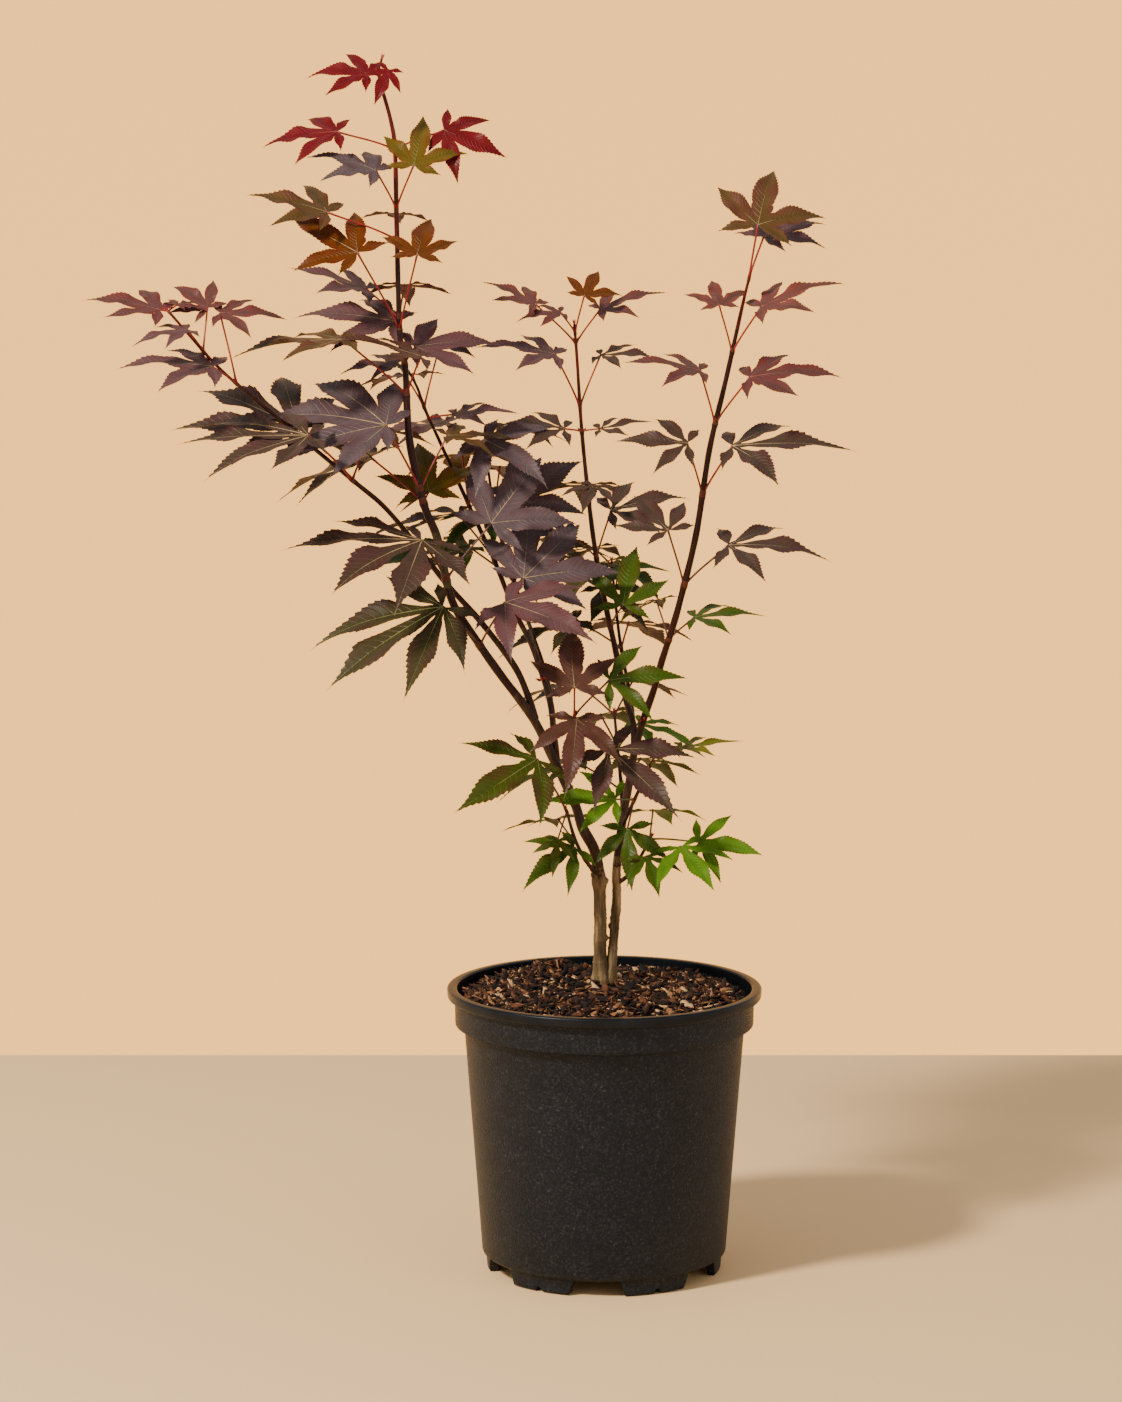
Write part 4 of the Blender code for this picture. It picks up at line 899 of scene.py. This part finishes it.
trunkHeap = Heap()
for name, top in trunk["tops"].items():
    seed = trunk["seeds"][name]
    path = smoothRoute(limbs[name]["route"], trunk["rings"])
    path = path[path[:, 2] < top]
    path[0, 2] = trunk["base"]
    girth = np.interp(path[:, 2], *zip(*limbs[name]["radii"]))
    turn = np.linspace(0, 2 * np.pi, trunk["sides"], endpoint=False)
    field = barkRelief(path[:, 2], turn, seed)
    rise = path[:, 2:]
    flare = 0.10 + 0.09 * np.cos(3 * turn[None] + seed)
    flare = np.exp(-(rise - trunk["base"]) / trunk["flareOver"]) * flare
    waist = 0.02 * np.sin(rise / 3.1 + seed)
    radius = girth[:, None] * (1 + trunk["ridges"] * field + flare + waist)
    for height, facing, stands, spread in knots[name]:
        away = np.abs((np.degrees(turn)[None] - facing + 180) % 360 - 180)
        radius = radius + stands * np.exp(-((rise - height) / spread)**2 - (away / trunk["knotTurn"])**2)
        scar = (rise - height + trunk["scarDrop"]) / trunk["scarRise"]      # a ring scar below it
        radius = radius + trunk["scar"] * np.exp(-scar**2)
    trunkHeap.add(*tube(path, radius, trunk["sides"]))
trunkPiece = trunkHeap.put("trunkBark", [woodSkins["trunkBark"]])
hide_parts("trunk")
print("trunk")

# pot: a turned wall, its foot cut by notches and small drain arches
pot = dict(height=209.8, lip=115.0, lipDepth=8.4, collar=109.6, collarFoot=182.6, wallTop=102.4,
           wallFoot=89.6, foot=86.6, footHeight=11.5, footInside=70, footOutside=82, floor=14.0, steps=432,
           notches=6, notchAt=266.0, notchHalf=12.6, slope=1.3, archHalf=1.8, archHeight=4.2)


def roundOff(centre, radius, start, end, count):
    # arc of a profile corner, angles in degrees from outwards to upwards
    a = np.radians(np.linspace(start, end, count))
    return [(centre[0] + radius * math.cos(x), centre[1] + radius * math.sin(x)) for x in a]


def potProfile():
    # from the middle of the inner floor up the inside, over the lip, down the outside and under the foot
    height, lip, collar, collarFoot = (pot[key] for key in ("height", "lip", "collar", "collarFoot"))
    wallTop, wallFoot, foot, footTop = (pot[key] for key in ("wallTop", "wallFoot", "foot", "footHeight"))
    line = [(87.0, pot["floor"]), (100.4, 179.5), (107.0, 181.6), (107.5, 200.0), (107.8, height - 0.9)]
    line += roundOff((109.6, height - 1.6), 1.6, 130, 90, 4)
    line += roundOff((lip - 1.7, height - 1.7), 1.7, 84, 0, 7)
    line += roundOff((lip - 1.9, height - 5.7), 1.6, -5, -85, 5)
    line += [(collar + 0.9, height - 7.6), (collar + 0.15, height - 8.3), (collar, height - 9.4)]
    line += [(collar - 0.3, 195.0)] + roundOff((collar - 1.3, collarFoot + 0.8), 0.8, 0, -82, 4)
    line += [(wallTop + 0.6, collarFoot - 0.7), (wallTop, collarFoot - 2.6)]
    line += [(wallTop + (wallFoot - wallTop) * k, 180 - k * 165.5) for k in (0.25, 0.5, 0.75)]
    line += [(wallFoot + 0.1, 14.5), (wallFoot - 0.3, 13.2), (foot + 0.9, footTop + 0.3)]
    line += [(foot, footTop - 0.8), (foot - 0.2, 6.0), (foot - 0.5, 2.4)]
    line += roundOff((foot - 2.4, 1.9), 1.9, -8, -86, 5)
    line += [(80.0, 0.0), (79.6, 5.0), (79.4, footTop - 0.3), (60.0, footTop)]
    line += [(23.5, footTop), (22.3, 6.0), (21.5, 0.0)]
    return np.array(line)


def footLift(turn):
    # how far the foot is cut away at a bearing, 0 at a foot and 1 in a notch, with sloped sides
    apart = 360 / pot["notches"]
    away = np.abs((turn - pot["notchAt"] + apart / 2) % apart - apart / 2)
    return np.clip((pot["notchHalf"] + pot["slope"] - away) / (2 * pot["slope"]), 0, 1)


def archLift(turn):
    # a small half-round arch in the middle of each foot
    apart = 360 / pot["notches"]
    away = np.abs((turn - pot["notchAt"]) % apart - apart / 2)
    return pot["archHeight"] * np.sqrt(np.clip(1 - (away / pot["archHalf"])**2, 0, 1))


profile = potProfile()
turn = np.linspace(0, 360, pot["steps"], endpoint=False)
r, z = (np.repeat(profile[:, [k]], len(turn), axis=1) for k in (0, 1))
isFoot = (z < pot["footHeight"]) & (r > pot["footInside"])
z = np.where(isFoot, z + (pot["footHeight"] - z) * footLift(turn)[None], z)
z = np.where(isFoot & (r > pot["footOutside"]), np.maximum(z, archLift(turn)[None]), z)
w = np.radians(turn)[None]
points = np.stack([r * np.cos(w), r * np.sin(w), z], -1).reshape(-1, 3)
points = np.vstack([points, [(0, 0, pot["floor"]), (0, 0, 0)]])
triangles = closedGrid(len(profile), pot["steps"])
isLip = points[triangles, 2].mean(axis=1) > pot["height"] - pot["lipDepth"]
potHeap = Heap()
potHeap.add(points, triangles, isLip.astype(int))
potPiece = potHeap.put("nurseryPot", [plasticSkin(), lipSkin()], sharp=38)
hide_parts("pot")
print("pot")

# potting bark: a lumpy bed, its heaps given as x, y, spread and rise, under loose chips, whose lengths
# follow a gamma curve, and a few fibres
bed = dict(rim=107.0, rings=44, sides=120, deeper=3.0, seat=8, lumps=24, lumpRise=3.6, seed=12,
           heaps=((-38, 72, 12, 6.2), (-58, 42, 27, 2.6), (62, 34, 22, 1.0)),
           radii=(0, 20, 40, 62, 84, 98, 107), heights=(210.2, 210.0, 209.6, 208.6, 206.4, 203.4, 201.2),
           under=((106.6, 182.4), (99.6, 180.2), (86.6, 14.6), (0, 14.6)))
chip = dict(count=5400, curve=(2.8, 1.05), lengths=(0.7, 8.0), width=(0.20, 0.50), depth=(0.12, 0.34),
            ring=0.5, pole=0.62, jitter=0.32, pitch=0.5, roll=0.6, edge=3.5, sit=(-3.2, 1.3),
            shares=(0.36, 0.27, 0.20, 0.12, 0.05))
fibre = dict(count=150, rim=98, length=(6, 17), girth=(0.25, 0.6), sit=(-0.4, 1.2), slope=(-0.25, 0.25),
             bow=(-4, 4), skins=(1, 2, 3, 4), shares=(0.3, 0.3, 0.25, 0.15))


def bedHeight(r, turn):
    # flat seat round the stems, falling to the wall, with low heaps on it: each a bell of the
    # distance d from its middle, rise * exp(-d^2 / (2 spread^2))
    height = np.interp(r, bed["radii"], bed["heights"])
    for x, y, spread, rise in bed["heaps"]:
        apart = (r * np.cos(turn) - x)**2 + (r * np.sin(turn) - y)**2
        height = height + rise * np.exp(-apart / (2 * spread**2))
    return height


# the darkest tint colours the darkest chips and also the bed under them, where it is painted shade in the
# gaps between chips
chipTints = dict(darkChipAndGapShade=(0.009, 0.004, 0.003), umberChip=(0.036, 0.013, 0.006), rustChip=(0.12, 0.042, 0.016),
                 fawnChip=(0.32, 0.145, 0.058), paleChip=(0.66, 0.39, 0.19))
chipSkins = [chipSkin(name, colour) for name, colour in chipTints.items()]
turn = np.linspace(0, 2 * np.pi, bed["sides"], endpoint=False)
rr, ww = np.meshgrid(np.linspace(0, bed["rim"], bed["rings"]), turn, indexing="ij")
rng = np.random.default_rng(bed["seed"])
# lumps: the mean of plane waves in many directions, each cos(a x + b y + c)
rough = sum(np.cos(rng.uniform(-0.5, 0.5) * rr * np.cos(ww) + rng.uniform(-0.5, 0.5) * rr * np.sin(ww)
                   + rng.uniform(0, 6.3)) for k in range(bed["lumps"])) / bed["lumps"]
top = bedHeight(rr, ww) - bed["deeper"] + bed["lumpRise"] * rough * (rr > bed["seat"])
surface = np.stack([rr * np.cos(ww), rr * np.sin(ww), top], -1)
under = np.array(bed["under"])
sunk = np.stack([under[:, :1] * np.cos(turn)[None], under[:, :1] * np.sin(turn)[None],
                 np.repeat(under[:, 1:], len(turn), axis=1)], -1)
whole = np.vstack([surface, sunk])
index = np.arange(whole.shape[0] * whole.shape[1]).reshape(whole.shape[:2])
index[0, :], index[-1, :] = index[0, 0], index[-1, 0]
index = np.hstack([index, index[:, :1]])
bedHeap = Heap()
bedHeap.add(whole.reshape(-1, 3), gridTriangles(index))
# the bed takes the darkest chip tint: painted shade in the gaps between chips and in the bare ring round the
# stems
bedPiece = bedHeap.put("barkBed", chipSkins[:1])
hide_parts("potting_bark")


def scatterChips(count, seed):
    # chips as six-sided lumps: two rings and two poles, each stretched, jittered, then rolled, pitched
    # and yawed by one rotation matrix each
    rng = np.random.default_rng(seed)
    k = np.arange(6)
    n = (k + 1) % 6
    below, above = np.full((2, 6), [[12], [13]])      # numbers of the two poles
    cosines, sines = np.cos(k * np.pi / 3), np.sin(k * np.pi / 3)
    base = np.vstack([np.stack([cosines, sines, np.full(6, -chip["ring"])], -1),
                      np.stack([cosines, sines, np.full(6, chip["ring"])], -1),
                      [(0, 0, -chip["pole"]), (0, 0, chip["pole"])]])
    faces = np.vstack([np.stack([k, n, n + 6], -1), np.stack([k, n + 6, k + 6], -1),
                       np.stack([n, k, below], -1), np.stack([k + 6, n + 6, above], -1)])
    long = rng.gamma(*chip["curve"], count).clip(*chip["lengths"])
    wide, deep = long * rng.uniform(*chip["width"], count), long * rng.uniform(*chip["depth"], count)
    jitter = rng.uniform(-chip["jitter"], chip["jitter"], (count, len(base), 3))
    lumps = base[None] * (1 + jitter) * np.stack([long, wide, deep], -1)[:, None]
    yaw = rng.uniform(0, 6.3, count)
    pitch, roll = rng.normal(0, chip["pitch"], count), rng.normal(0, chip["roll"], count)
    (cy, cp, cr), (sy, sp, sr) = np.cos([yaw, pitch, roll]), np.sin([yaw, pitch, roll])
    turned = np.stack([
        np.stack([cy * cp, cy * sp * sr - sy * cr, cy * sp * cr + sy * sr], -1),
        np.stack([sy * cp, sy * sp * sr + cy * cr, sy * sp * cr - cy * sr], -1),
        np.stack([-sp, cp * sr, cp * cr], -1)], 1)
    lumps = np.einsum("nij,nvj->nvi", turned, lumps)
    far = (bed["rim"] - chip["edge"] - long * 0.6) * np.sqrt(rng.uniform(0.012, 1, count))
    around = rng.uniform(0, 2 * np.pi, count)
    sit = bedHeight(far, around) + rng.uniform(*chip["sit"], count) - np.abs(lumps[..., 2]).max(axis=1) * 0.2
    lumps += np.stack([far * np.cos(around), far * np.sin(around), sit], -1)[:, None]
    triangles = faces[None] + len(base) * np.arange(count)[:, None, None]
    tint = rng.choice(len(chipSkins), count, p=chip["shares"])
    return lumps.reshape(-1, 3), triangles.reshape(-1, 3), np.repeat(tint, len(faces))


def scatterFibres(count, seed):
    # short bowed threads lying on the chips
    rng = np.random.default_rng(seed)
    heap = Heap()
    t = np.linspace(-0.5, 0.5, 5)[:, None]
    for k in range(count):
        far = fibre["rim"] * math.sqrt(rng.uniform(0.02, 1))
        around, yaw, length = rng.uniform(0, 6.3), rng.uniform(0, 6.3), rng.uniform(*fibre["length"])
        height = bedHeight(far, around) + rng.uniform(*fibre["sit"])
        start = np.array([far * math.cos(around), far * math.sin(around), height])
        aim = np.array([math.cos(yaw), math.sin(yaw), rng.uniform(*fibre["slope"])])
        bow = np.array([-math.sin(yaw), math.cos(yaw), 0.3]) * rng.uniform(*fibre["bow"])
        points, triangles = tube(start + aim * length * t + bow * t * t, rng.uniform(*fibre["girth"]), 4)
        heap.add(points, triangles, int(rng.choice(fibre["skins"], p=fibre["shares"])))
    return heap


chipHeap = Heap()
chipHeap.add(*scatterChips(chip["count"], bed["seed"]))
chipHeap.put("barkChips", chipSkins, smooth=False)
scatterFibres(fibre["count"], bed["seed"]).put("barkFibres", chipSkins)
print("potting bark")

# plain pale floor with a straight back edge
slab = dict(left=-1.6, right=1.6, front=-1.6, back=0.70, top=-0.0004, colour=(0.97, 0.66, 0.33))
sides = (("left", "front"), ("right", "front"), ("right", "back"), ("left", "back"))
floorMesh = bpy.data.meshes.new("floor")
floorMesh.from_pydata([(slab[x], slab[y], slab["top"]) for x, y in sides], [], [(0, 1, 2, 3)])
floorMesh.materials.append(newSkin("paleFloor", slab["colour"], 0.75, 0.3)[0])
floor = bpy.data.objects.new("floor", floorMesh)
bpy.context.scene.collection.objects.link(floor)

print("finished")
